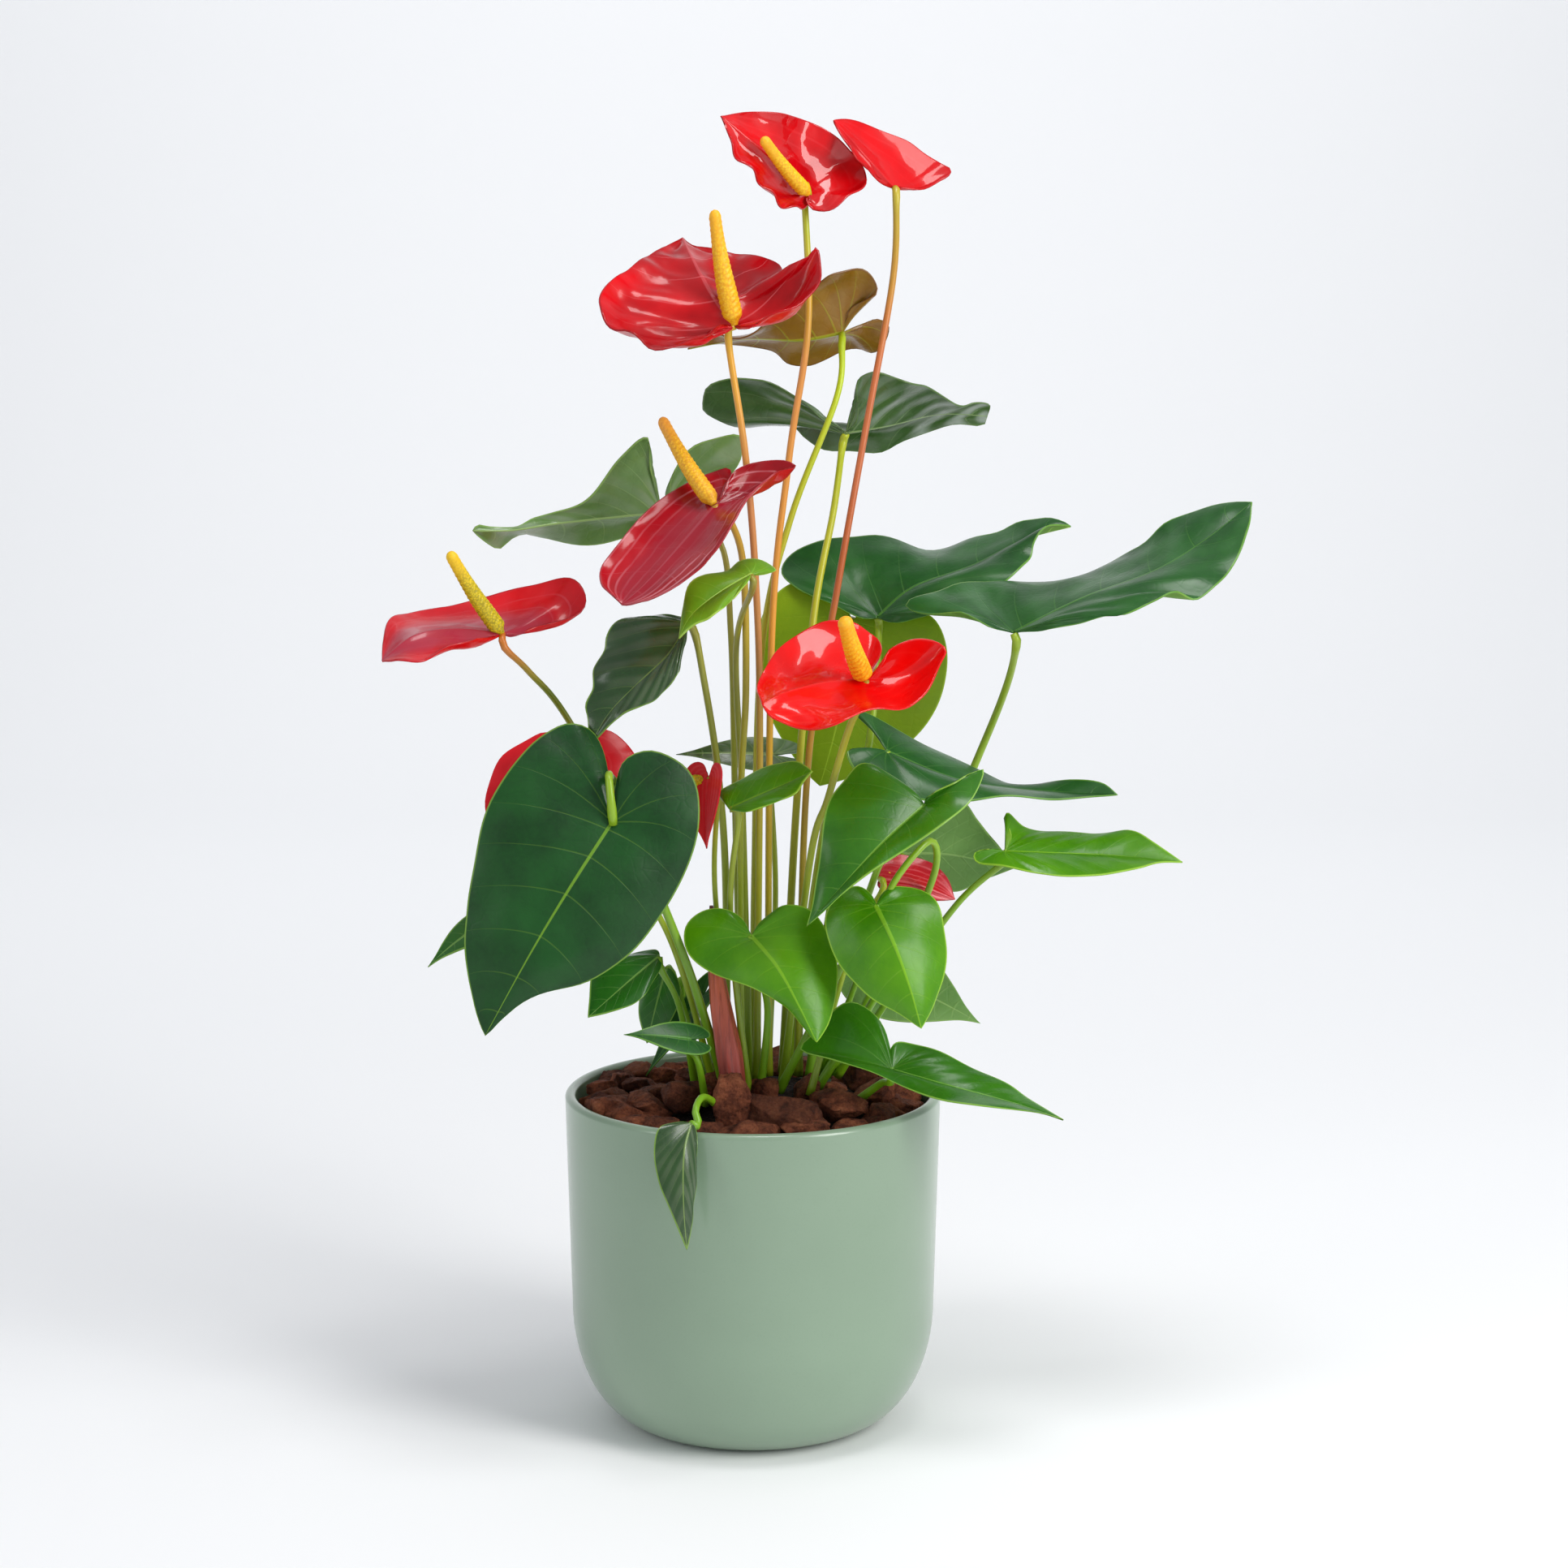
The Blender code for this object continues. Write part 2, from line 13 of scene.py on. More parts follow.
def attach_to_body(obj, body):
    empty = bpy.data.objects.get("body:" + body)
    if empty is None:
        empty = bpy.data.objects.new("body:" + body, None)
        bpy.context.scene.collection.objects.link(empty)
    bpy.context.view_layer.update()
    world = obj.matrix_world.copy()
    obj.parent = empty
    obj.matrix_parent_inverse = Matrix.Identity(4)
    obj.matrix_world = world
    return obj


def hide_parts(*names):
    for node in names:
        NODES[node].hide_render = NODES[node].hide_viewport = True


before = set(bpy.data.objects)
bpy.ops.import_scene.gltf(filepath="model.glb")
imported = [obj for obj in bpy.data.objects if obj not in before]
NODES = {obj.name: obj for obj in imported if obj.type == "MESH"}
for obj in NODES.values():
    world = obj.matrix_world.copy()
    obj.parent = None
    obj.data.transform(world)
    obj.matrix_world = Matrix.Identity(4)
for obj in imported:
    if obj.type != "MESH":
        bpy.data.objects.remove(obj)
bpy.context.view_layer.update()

MM = 0.001

# ------------------------------------------------------------------ tables
LEAF_OUTLINE = [(1.0, 0.0), (0.93, 0.055), (0.80, 0.20), (0.62, 0.49), (0.42, 0.78), (0.22, 0.96),
                (0.04, 1.0), (-0.15, 0.93), (-0.28, 0.72), (-0.34, 0.45), (-0.29, 0.21)]
SPATHE_OUTLINE = [(1.0, 0.0), (0.94, 0.05), (0.82, 0.20), (0.62, 0.52), (0.40, 0.80), (0.2, 0.95),
                  (0.0, 1.0), (-0.14, 0.93), (-0.23, 0.70), (-0.25, 0.42), (-0.19, 0.2)]

# name, attachment point, tip, facing of the upper side, width / length, droop,
# folds of the halves, curl, lift of the lobes, stretch of the lobes,
# the petiole's route from the crown, and its radii
LEAVES = [
    ('leaf_front_left', (-69, -88, 335), (-132, -104, 230), (-105, 25), 1.05, 35, (20, 45), 5, (55, 40), 1.4,
     [(-14, -22, 183), (-31, -44, 247), (-52, -62, 307), (-68, -76, 353)], (2.4, 1.9)),
    ('leaf_bronze_top', (47, 24, 577), (-34, 27, 569), (90, 50), 0.8, 10, (15, 25), -15, (35, 30), 1.0,
     [(0, 14, 184), (1, 10, 291), (5, 6, 413), (20, 5, 481), (44, 8, 544)], (2.0, 1.6)),
    ('leaf_upper_mid', (50, 60, 524), (128, 92, 533), (10, 30), 1.25, -30, (-20, 75), -40, (35, -5), 1.7,
     [(16, 14, 184), (23, 10, 326), (32, 16, 427), (43, 38, 484)], (2.2, 1.8)),
    ('leaf_upper_left', (-47, 8, 484), (-144, -15, 476), (75, 55), 0.85, -25, (15, 20), 5, (15, 65), 1.5,
     [(-6, 6, 184), (-9, -4, 328), (-11, -12, 423), (-17, -14, 471)], (1.9, 1.5)),
    ('leaf_mid_left_dark', (-32, -50, 431), (-81, -66, 371), (-140, 25), 1.2, 20, (25, 30), -5, (65, 55), 1.0,
     [(-14, 2, 184), (-14, -14, 295), (-18, -30, 357), (-25, -46, 407)], (2.1, 1.7)),
    ('leaf_mid_light', (0, -70, 457), (-35, -92, 427), (-135, 35), 0.8, 45, (15, 10), -15, (15, 10), 0.8,
     [(-2, 0, 184), (-5, -14, 330), (-8, -28, 416)], (1.9, 1.5)),
    ('leaf_right_upper', (67, 46, 426), (172, 65, 474), (-90, 65), 0.8, -25, (20, 30), -10, (35, 40), 1.1,
     [(31, 16, 184), (44, 10, 291), (59, 12, 348), (65, 18, 390)], (2.2, 1.8)),
    ('leaf_right_long', (135, -24, 424), (260, 0, 490), (-95, 80), 0.95, -30, (-5, 5), 0, (30, 40), 0.7,
     [(39, 9, 183), (80, 18, 259), (119, 26, 350), (133, 4, 392)], (2.3, 1.9)),
    ('leaf_back_light', (54, 58, 423), (36, 52, 334), (-90, 5), 1.25, 70, (5, 5), -45, (0, 0), 0.8,
     [(20, 36, 183), (34, 48, 285), (49, 66, 372)], (2.1, 1.7)),
    ('leaf_right_folded', (70, -20, 362), (191, -12, 338), (-90, 80), 0.42, 10, (38, 38), -5, (0, 0), 1.0,
     [(30, 0, 184), (44, -2, 293)], (2.0, 1.6)),
    ('leaf_centre_hang', (87, -72, 341), (28, -102, 285), (-120, 40), 1.0, 30, (35, 10), 0, (10, -15), 1.0,
     [(14, -26, 183), (48, -46, 258), (68, -68, 317)], (2.1, 1.7)),
    ('leaf_front_bright', (63, -80, 291), (85, -101, 233), (-95, 20), 1.1, 40, (-10, -20), -40, (-40, 20), 0.7,
     [(34, -20, 183), (71, -30, 246), (93, -50, 301), (91, -64, 322), (75, -74, 307)], (2.1, 1.7)),
    ('leaf_front_small', (0, -60, 272), (33, -88, 223), (-50, 35), 1.15, 60, (15, 5), -20, (-35, 30), 1.0,
     [(4, -28, 183), (8, -38, 231)], (2.0, 1.6)),
    ('leaf_right_bright', (131, -30, 311), (225, -16, 303), (-90, 60), 0.6, 15, (20, 25), -15, (15, 10), 0.7,
     [(45, 8, 183), (74, -6, 231), (107, -22, 282)], (2.0, 1.6)),
    ('leaf_pale_behind', (76, -12, 307), (139, -2, 298), (70, 45), 0.85, 20, (10, 10), -10, (0, 0), 1.0,
     [(37, 15, 183), (61, -4, 254)], (1.8, 1.5)),
    ('leaf_rim_right', (72, -58, 202), (158, -84, 182), (-75, 75), 0.65, 10, (15, 10), -10, (55, 35), 1.6,
     [(54, -34, 179), (67, -42, 191)], (1.9, 1.6)),
    ('leaf_low_pale', (69, 34, 234), (123, 30, 207), (-85, 30), 0.8, 15, (10, 10), -15, (0, 0), 1.0,
     [(44, 32, 182), (56, 33, 214)], (1.8, 1.5)),
    ('leaf_over_rim', (-30, -99, 184), (-32, -114, 123), (-125, 10), 0.6, 15, (40, 30), -10, (15, 25), 0.5,
     [(-14, -54, 179), (-24, -76, 192), (-28, -92, 189)], (1.9, 1.6)),
    ('leaf_left_low_a', (-48, -36, 257), (-84, -57, 229), (-155, 25), 1.0, 65, (-20, 40), -20, (-40, 10), 0.5,
     [(-30, -14, 182), (-38, -30, 229)], (1.8, 1.5)),
    ('leaf_left_low_b', (-46, -6, 244), (-56, -10, 205), (-120, 10), 0.85, 15, (25, 25), 0, (10, 35), 0.5,
     [(-26, -2, 183), (-35, -6, 218)], (1.7, 1.4)),
    ('leaf_left_low_c', (-37, 16, 235), (-37, 12, 210), (-120, 5), 0.75, 25, (30, 25), -5, (10, 15), 0.8,
     [(-18, 20, 183), (-28, 18, 215)], (1.5, 1.2)),
    ('leaf_blade_narrow', (-28, 4, 226), (-57, 0, 185), (-115, 20), 0.3, 10, (25, 25), -15, (0, 0), 1.0,
     [(-26, 8, 183), (-27, 6, 210)], (1.5, 1.2)),
    ('leaf_left_low_d', (-32, -58, 218), (-65, -70, 223), (-90, 35), 0.5, 20, (10, 10), -15, (0, 0), 1.0,
     [(-24, -44, 180), (-28, -51, 205)], (1.7, 1.4)),
    ('leaf_left_tip', (-138, -30, 274), (-167, -45, 253), (-120, 35), 0.55, 20, (10, 10), -15, (0, 0), 1.0,
     [(-24, 26, 182), (-56, 14, 224), (-102, -4, 254)], (1.7, 1.4)),
    ('leaf_mid_folded', (-11, -56, 337), (31, -61, 357), (-90, 70), 0.8, 25, (20, 15), -25, (5, 15), 0.5,
     [(-2, -30, 183), (-11, -44, 279)], (1.9, 1.5)),
    ('leaf_inner_small', (10, 28, 354), (-41, 22, 355), (-90, 35), 0.4, 15, (10, 10), -15, (0, 0), 1.0,
     [(8, 30, 184), (12, 26, 280)], (1.7, 1.4)),
]

# the same for a flower: spathe, stem route and radii, spadix tip and radii
FLOWERS = [
    ('flower1', (29, -6, 647), (-15, -35, 684), (-65, -15), 1.05, -30, (55, -5), 20, (50, 15), 1.2,
     [(8, 6, 184), (10, 1, 413), (19, -2, 511), (29, -5, 581)], (2.3, 1.8), (17, -37, 676), (4.6, 3.4)),
    ('flower2', (74, 12, 651), (101, -16, 656), (100, 45), 1.25, 55, (25, 30), 10, (30, -5), 1.1,
     [(24, 6, 184), (29, 2, 349), (44, -2, 443), (59, 6, 527), (73, 12, 604)], (2.3, 1.8), (83, 42, 679), (4.2, 3.0)),
    ('flower3', (-8, -42, 580), (-36, 14, 626), (-45, 30), 1.25, -30, (-20, 60), -10, (55, 10), 1.1,
     [(2, -8, 184), (4, -15, 372), (2, -28, 453), (-3, -38, 516)], (2.2, 1.8), (-18, -55, 637), (5.4, 3.2)),
    ('flower4', (-18, -58, 491), (-63, -96, 444), (-155, 20), 1.25, 35, (-20, 20), -10, (25, 5), 1.7,
     [(-6, -12, 184), (-6, -24, 331), (-3, -32, 395), (-4, -38, 458), (-10, -50, 482)], (2.2, 1.8), (-46, -26, 534), (4.8, 3.2)),
    ('flower5', (-127, -40, 425), (-184, -74, 414), (-165, 20), 1.25, 25, (-20, 65), -20, (90, 5), 1.7,
     [(-15, -6, 184), (-52, -19, 296), (-94, -22, 377), (-114, -35, 405)], (2.2, 1.7), (-151, -63, 468), (4.6, 3.2)),
    ('flower6', (-94, -44, 357), (-136, -53, 350), (-105, 60), 1.25, 60, (-20, 75), 5, (35, -40), 1.7,
     [(-20, -16, 183), (-44, -40, 271), (-83, -52, 331)], (2.0, 1.6), (-110, -72, 369), (4.2, 3.2)),
    ('flower7', (57, -76, 405), (6, -108, 396), (-140, 45), 1.25, -10, (-20, 40), 10, (70, -15), 1.7,
     [(16, -14, 184), (30, -36, 307), (39, -48, 341), (50, -66, 381)], (2.3, 1.9), (46, -104, 438), (5.4, 4.0)),
    ('flower8', (-22, -42, 350), (-23, -46, 315), (-130, 20), 0.75, 15, (20, 20), 0, (0, 0), 1.0,
     [(-8, -24, 183), (-19, -38, 291)], (1.7, 1.4), (-31, -55, 350), (4.0, 3.2)),
    ('flower9', (66, -44, 299), (105, -37, 287), (80, 30), 0.95, 20, (-5, 0), -5, (10, 0), 0.7,
     [(30, -31, 182), (52, -26, 260)], (1.8, 1.5), (73, -29, 310), (4.0, 3.2)),
]

# margins of the larger blades, from the sinus round the lobe to the tip, with
# the midrib from the attachment point to the tip, and how far each half bellies
OUTLINES = {
    'flower3_spathe': dict(mid=[(-7, -42, 581), (-17, -44, 594), (-28, -22, 612), (-36, 10, 626)],
        left=[(-14, -52, 579), (-23, -61, 576), (-34, -74, 570), (-43, -78, 569), (-52, -82, 573), (-63, -74, 577), (-69, -68, 584), (-72, -59, 591), (-69, -50, 599), (-61, -36, 606), (-54, -24, 613), (-44, -5, 621)],
        right=[(3, -56, 579), (15, -62, 587), (28, -55, 595), (34, -50, 603), (35, -43, 612), (32, -38, 619), (24, -38, 613), (15, -34, 606), (13, -14, 612), (-3, -4, 616), (-21, 2, 621), (-31, 7, 623)], bulge=(-0.1, -0.12)),
    'flower1_spathe': dict(mid=[(30, -6, 648), (12, -24, 664), (-13, -35, 684)],
        left=[(27, -10, 641), (17, -22, 643), (8, -28, 650), (-1, -36, 660), (-9, -35, 672)],
        right=[(33, -8, 642), (43, -8, 642), (54, -1, 648), (59, 4, 655), (57, 7, 664), (50, 10, 672), (40, 7, 680), (30, 4, 685), (14, -9, 688), (-2, -22, 687)], bulge=(-0.14, -0.14)),
    'flower2_spathe': dict(mid=[(74, 12, 650), (59, 2, 665), (42, 4, 684)],
        left=[(83, 16, 650), (94, 23, 652), (101, 28, 655), (104, 31, 660), (99, 34, 664), (90, 32, 669), (81, 30, 675), (71, 24, 679), (60, 18, 683), (50, 10, 685)],
        right=[(68, 8, 654), (60, 1, 659), (53, -6, 666), (48, -2, 673), (44, 2, 679)], bulge=(0.12, 0.12)),
    'flower4_spathe': dict(mid=[(-17, -58, 491), (-34, -72, 472), (-51, -88, 454), (-63, -96, 444)],
        left=[(-12, -54, 498), (-8, -50, 507), (-1, -48, 511), (10, -44, 513), (19, -45, 513), (24, -46, 510), (15, -57, 508), (7, -70, 502), (0, -79, 495), (-7, -92, 484), (-16, -98, 472), (-28, -104, 460), (-42, -103, 450), (-54, -102, 446)],
        right=[(-14, -50, 494), (-12, -38, 500), (-9, -26, 506), (-11, -24, 509), (-20, -29, 506), (-32, -36, 501), (-43, -43, 495), (-55, -52, 485), (-65, -63, 473), (-74, -74, 462), (-73, -86, 452)], bulge=(-0.08, -0.08)),
    'flower5_spathe': dict(mid=[(-127, -40, 426), (-150, -54, 428), (-169, -66, 424), (-183, -76, 411)],
        left=[(-134, -48, 424), (-143, -62, 423), (-154, -75, 418), (-163, -86, 414), (-173, -86, 412)],
        right=[(-119, -32, 426), (-109, -28, 430), (-95, -22, 435), (-88, -17, 438), (-87, -12, 445), (-92, -8, 453), (-101, -4, 455), (-117, -5, 450), (-138, -6, 443), (-158, -17, 437), (-177, -28, 434), (-185, -44, 431), (-185, -62, 421)], bulge=(-0.08, -0.08)),
    'flower7_spathe': dict(mid=[(54, -76, 405), (34, -86, 404), (16, -102, 400), (6, -110, 395)],
        left=[(61, -80, 413), (66, -76, 421), (78, -74, 425), (92, -72, 422), (91, -81, 413), (86, -92, 403), (77, -100, 398), (64, -110, 396), (53, -116, 392), (42, -122, 389), (24, -117, 387), (12, -113, 389)],
        right=[(58, -72, 411), (62, -62, 418), (57, -50, 425), (47, -49, 431), (31, -48, 430), (16, -61, 423), (7, -72, 413), (3, -93, 403)], bulge=(-0.14, -0.12)),
    'flower6_spathe': dict(mid=[(-97, -44, 363), (-99, -46, 338), (-102, -56, 315)],
        left=[(-94, -42, 376), (-86, -39, 382), (-75, -36, 380), (-67, -35, 373), (-62, -34, 364), (-63, -37, 353), (-68, -40, 340), (-79, -47, 325)],
        right=[(-100, -44, 375), (-108, -45, 381), (-118, -46, 377), (-130, -47, 369), (-136, -48, 358), (-139, -50, 345), (-136, -52, 334), (-123, -54, 320)], bulge=(0.08, 0.08)),
    'leaf_front_left': dict(mid=[(-68, -86, 335), (-87, -100, 307), (-108, -106, 273), (-132, -104, 230)],
        left=[(-65, -82, 354), (-61, -79, 366), (-48, -76, 370), (-33, -76, 363), (-26, -76, 352), (-25, -80, 337), (-28, -84, 318), (-37, -89, 298), (-51, -94, 279), (-67, -98, 265), (-83, -102, 256), (-107, -103, 249), (-121, -103, 241)],
        right=[(-71, -78, 345), (-73, -71, 361), (-78, -64, 376), (-87, -65, 382), (-97, -66, 381), (-110, -72, 372), (-124, -80, 354), (-132, -85, 338), (-137, -92, 316), (-141, -95, 292), (-141, -98, 268), (-138, -101, 246)], bulge=(0.08, 0.05)),
    'leaf_bronze_top': dict(mid=[(45, 22, 578), (24, 24, 574), (-4, 26, 574), (-34, 27, 568)],
        left=[(46, 20, 582), (49, 14, 590), (56, 8, 595), (61, 5, 600), (55, 0, 608), (45, -1, 609), (35, -2, 608), (26, 1, 598), (15, 4, 589), (2, 9, 579), (-9, 12, 575), (-25, 21, 577)],
        right=[(52, 28, 580), (60, 31, 585), (69, 34, 584), (67, 40, 573), (62, 44, 568), (55, 43, 569), (48, 42, 568), (37, 43, 565), (28, 44, 562), (18, 41, 562), (9, 38, 568), (-9, 33, 571), (-23, 30, 572)], bulge=(0.06, 0.06)),
    'leaf_upper_mid': dict(mid=[(50, 60, 524), (73, 70, 527), (100, 80, 532), (126, 86, 530)],
        left=[(39, 56, 532), (24, 51, 544), (7, 46, 551), (-9, 48, 553), (-20, 50, 551), (-23, 57, 544), (-22, 62, 538), (-13, 66, 532), (4, 74, 527), (22, 77, 529), (29, 78, 523), (39, 80, 516), (52, 82, 515), (69, 83, 513), (83, 84, 519), (107, 85, 526), (123, 86, 525)],
        right=[(55, 58, 529), (56, 55, 535), (55, 50, 546), (58, 48, 552), (64, 46, 554), (73, 49, 553), (85, 52, 549), (99, 64, 542), (111, 73, 537), (118, 78, 537), (127, 83, 536)], bulge=(0.05, 0.06)),
    'leaf_upper_left': dict(mid=[(-49, 8, 483), (-75, 2, 481), (-104, -6, 478), (-124, -10, 475), (-144, -14, 475)],
        left=[(-52, 6, 491), (-55, 0, 506), (-55, -6, 521), (-60, -7, 521), (-68, -8, 512), (-78, -7, 500), (-89, -6, 490), (-104, -5, 484), (-114, -4, 481), (-123, -7, 476), (-135, -11, 477), (-141, -13, 478)],
        right=[(-45, 6, 493), (-44, 3, 502), (-37, 0, 513), (-27, 1, 519), (-10, 2, 523), (-8, 5, 516), (-12, 10, 506), (-22, 13, 491), (-35, 16, 479), (-54, 16, 474), (-73, 16, 469), (-90, 12, 467), (-110, 8, 469), (-119, 3, 472), (-125, 0, 470), (-131, -4, 465), (-137, -8, 468), (-141, -12, 472)], bulge=(0.05, 0.04)),
    'leaf_mid_left_dark': dict(mid=[(-34, -50, 450), (-42, -58, 431), (-58, -66, 411), (-72, -70, 392), (-81, -70, 371)],
        left=[(-34, -52, 445), (-34, -57, 436), (-36, -64, 425), (-38, -68, 415), (-45, -72, 405), (-53, -73, 399), (-63, -74, 393), (-71, -72, 384), (-76, -71, 377)],
        right=[(-37, -44, 453), (-52, -34, 451), (-67, -36, 449), (-76, -38, 444), (-81, -44, 434), (-82, -48, 427), (-86, -52, 420), (-87, -56, 414), (-84, -61, 403), (-87, -66, 394), (-85, -67, 387), (-83, -69, 378)], bulge=(0.06, 0.06)),
    'leaf_mid_light': dict(mid=[(0, -70, 457), (-16, -78, 448), (-29, -86, 438), (-35, -88, 427)],
        left=[(-3, -78, 452), (-11, -85, 444), (-19, -92, 438), (-27, -90, 434), (-32, -89, 430)],
        right=[(6, -66, 457), (13, -60, 459), (10, -56, 462), (3, -58, 464), (-5, -60, 463), (-11, -64, 459), (-22, -70, 457), (-30, -75, 452), (-33, -80, 441), (-34, -84, 434)], bulge=(0.06, 0.08)),
    'leaf_right_upper': dict(mid=[(67, 46, 424), (86, 50, 440), (119, 56, 452), (147, 62, 466), (173, 66, 473)],
        left=[(58, 44, 424), (40, 50, 432), (23, 56, 439), (14, 68, 448), (19, 78, 457), (36, 83, 463), (70, 92, 465), (94, 90, 460), (117, 88, 463), (136, 82, 468), (149, 78, 475), (161, 72, 478)],
        right=[(76, 38, 422), (88, 33, 425), (105, 26, 431), (124, 30, 438), (139, 34, 447), (149, 43, 457), (152, 50, 466), (161, 58, 473)], bulge=(0.05, 0.07)),
    'leaf_right_long': dict(mid=[(135, -24, 424), (170, -26, 442), (209, -18, 456), (238, -8, 473), (260, 0, 490)],
        left=[(121, -22, 427), (107, -12, 433), (94, -4, 433), (82, 6, 434), (81, 10, 438), (91, 14, 441), (117, 26, 445), (160, 24, 449), (190, 22, 456), (204, 18, 465), (218, 14, 480), (235, 10, 488), (251, 6, 490)],
        right=[(148, -34, 426), (163, -43, 430), (186, -56, 437), (203, -53, 442), (215, -50, 446), (226, -46, 443), (238, -40, 452), (250, -26, 464), (257, -12, 478)], bulge=(0.04, 0.05)),
    'leaf_back_light': dict(mid=[(52, 56, 425), (49, 52, 395), (44, 48, 363), (37, 46, 334)],
        left=[(58, 58, 432), (69, 60, 435), (84, 62, 433), (98, 61, 426), (105, 60, 408), (103, 58, 386), (93, 56, 367), (76, 53, 351), (54, 50, 339)],
        right=[(46, 58, 434), (34, 59, 444), (18, 60, 445), (5, 59, 433), (-1, 58, 412), (2, 56, 390), (8, 54, 372), (17, 51, 356), (27, 48, 343)], bulge=(0.03, 0.03)),
    'leaf_right_folded': dict(mid=[(73, -20, 362), (107, -18, 348), (142, -16, 342), (190, -14, 339)],
        left=[(67, -10, 370), (58, 0, 380), (78, 1, 371), (99, 2, 360), (119, -1, 350), (140, -4, 343), (167, -9, 346), (182, -12, 345)],
        right=[(63, -24, 363), (53, -30, 364), (57, -34, 354), (68, -40, 347), (85, -41, 341), (109, -42, 340), (131, -36, 341), (157, -28, 339), (177, -20, 339)], bulge=(0.05, 0.05)),
    'leaf_centre_hang': dict(mid=[(87, -72, 341), (65, -88, 324), (44, -98, 303), (28, -100, 285)],
        left=[(92, -76, 349), (108, -73, 356), (117, -72, 359), (110, -80, 345), (95, -90, 333), (75, -95, 321), (51, -102, 306), (37, -101, 293)],
        right=[(80, -68, 350), (68, -65, 356), (56, -62, 361), (47, -68, 354), (39, -76, 342), (35, -85, 321), (32, -94, 300)], bulge=(0.08, 0.08)),
    'leaf_front_bright': dict(mid=[(65, -82, 291), (73, -94, 274), (80, -100, 253), (85, -101, 233)],
        left=[(69, -78, 297), (76, -76, 300), (88, -72, 297), (96, -75, 289), (99, -80, 273), (97, -87, 258), (92, -94, 244)],
        right=[(62, -76, 297), (55, -73, 300), (45, -70, 295), (40, -75, 286), (41, -80, 275), (47, -86, 261), (59, -92, 249), (73, -97, 241)], bulge=(0.07, 0.07)),
    'leaf_front_small': dict(mid=[(0, -66, 272), (13, -78, 259), (24, -86, 241), (33, -88, 223)],
        left=[(5, -64, 280), (16, -62, 287), (29, -60, 284), (38, -64, 273), (42, -68, 258), (42, -76, 243), (38, -82, 231)],
        right=[(-5, -62, 280), (-15, -60, 285), (-26, -58, 283), (-33, -61, 275), (-31, -64, 263), (-19, -70, 254), (2, -78, 248), (17, -82, 240), (26, -85, 231)], bulge=(0.07, 0.07)),
    'leaf_right_bright': dict(mid=[(130, -30, 316), (157, -26, 313), (188, -20, 309), (225, -16, 303)],
        left=[(134, -24, 323), (132, -16, 334), (142, -13, 326), (159, -10, 322), (177, -9, 319), (197, -8, 321), (210, -12, 314)],
        right=[(122, -32, 318), (114, -34, 317), (115, -36, 312), (128, -42, 310), (140, -44, 307), (157, -46, 305), (179, -40, 302), (200, -34, 305), (213, -24, 305)], bulge=(0.05, 0.05)),
    'leaf_pale_behind': dict(mid=[(76, -12, 307), (104, -8, 306), (140, -2, 298)],
        left=[(75, -10, 299), (88, -4, 291), (107, 4, 284), (124, 2, 291)],
        right=[(79, -14, 317), (94, -17, 328), (109, -20, 336), (118, -17, 326), (127, -14, 315), (135, -6, 304)], bulge=(0.04, 0.04)),
    'leaf_rim_right': dict(mid=[(72, -58, 205), (99, -66, 198), (132, -76, 190), (158, -84, 182)],
        left=[(71, -54, 212), (75, -51, 218), (86, -46, 215), (106, -53, 208), (131, -62, 196), (146, -74, 188)],
        right=[(71, -52, 216), (65, -46, 230), (53, -42, 238), (43, -45, 235), (32, -50, 224), (25, -54, 216), (43, -62, 211), (61, -66, 206), (77, -70, 199), (96, -79, 193), (113, -86, 191), (137, -85, 188), (150, -84, 185)], bulge=(0.05, 0.05)),
    'leaf_over_rim': dict(mid=[(-28, -99, 188), (-32, -108, 174), (-33, -112, 148), (-32, -112, 122)],
        left=[(-25, -101, 183), (-26, -105, 162), (-28, -108, 142), (-30, -110, 130)],
        right=[(-35, -100, 189), (-45, -105, 187), (-48, -110, 176), (-46, -111, 160), (-39, -113, 141)], bulge=(0.06, 0.06)),
    'leaf_left_low_a': dict(mid=[(-50, -40, 270), (-65, -48, 253), (-85, -57, 229)],
        left=[(-48, -42, 264), (-53, -48, 252), (-59, -54, 242), (-73, -56, 234)],
        right=[(-53, -36, 273), (-66, -34, 268), (-80, -40, 262), (-87, -44, 254), (-86, -51, 240)], bulge=(0.06, 0.06)),
    'leaf_left_low_b': dict(mid=[(-52, -8, 254), (-54, -12, 232), (-56, -14, 206)],
        left=[(-48, -8, 255), (-42, -10, 247), (-40, -12, 236), (-45, -13, 219)],
        right=[(-55, -6, 256), (-62, -7, 251), (-65, -8, 240), (-64, -11, 223)], bulge=(0.06, 0.06)),
    'leaf_left_low_c': dict(mid=[(-44, 14, 238), (-43, 13, 222), (-43, 12, 208)],
        left=[(-41, 14, 238), (-36, 13, 232), (-35, 12, 222), (-38, 12, 212)],
        right=[(-47, 16, 238), (-50, 15, 233), (-48, 14, 220)], bulge=(0.06, 0.06)),
    'leaf_mid_folded': dict(mid=[(-11, -56, 337), (6, -60, 347), (19, -61, 354), (31, -61, 361)],
        left=[(-13, -50, 340), (-17, -44, 343), (-9, -44, 350), (2, -44, 356), (12, -48, 362), (23, -52, 364)],
        right=[(-7, -60, 337), (0, -66, 338), (10, -68, 343), (22, -70, 349), (27, -65, 356)], bulge=(0.06, 0.06)),
    'flower9_spathe': dict(mid=[(66, -44, 298), (85, -42, 293), (105, -36, 282)],
        left=[(65, -46, 294), (72, -46, 290), (85, -46, 286), (96, -40, 283)],
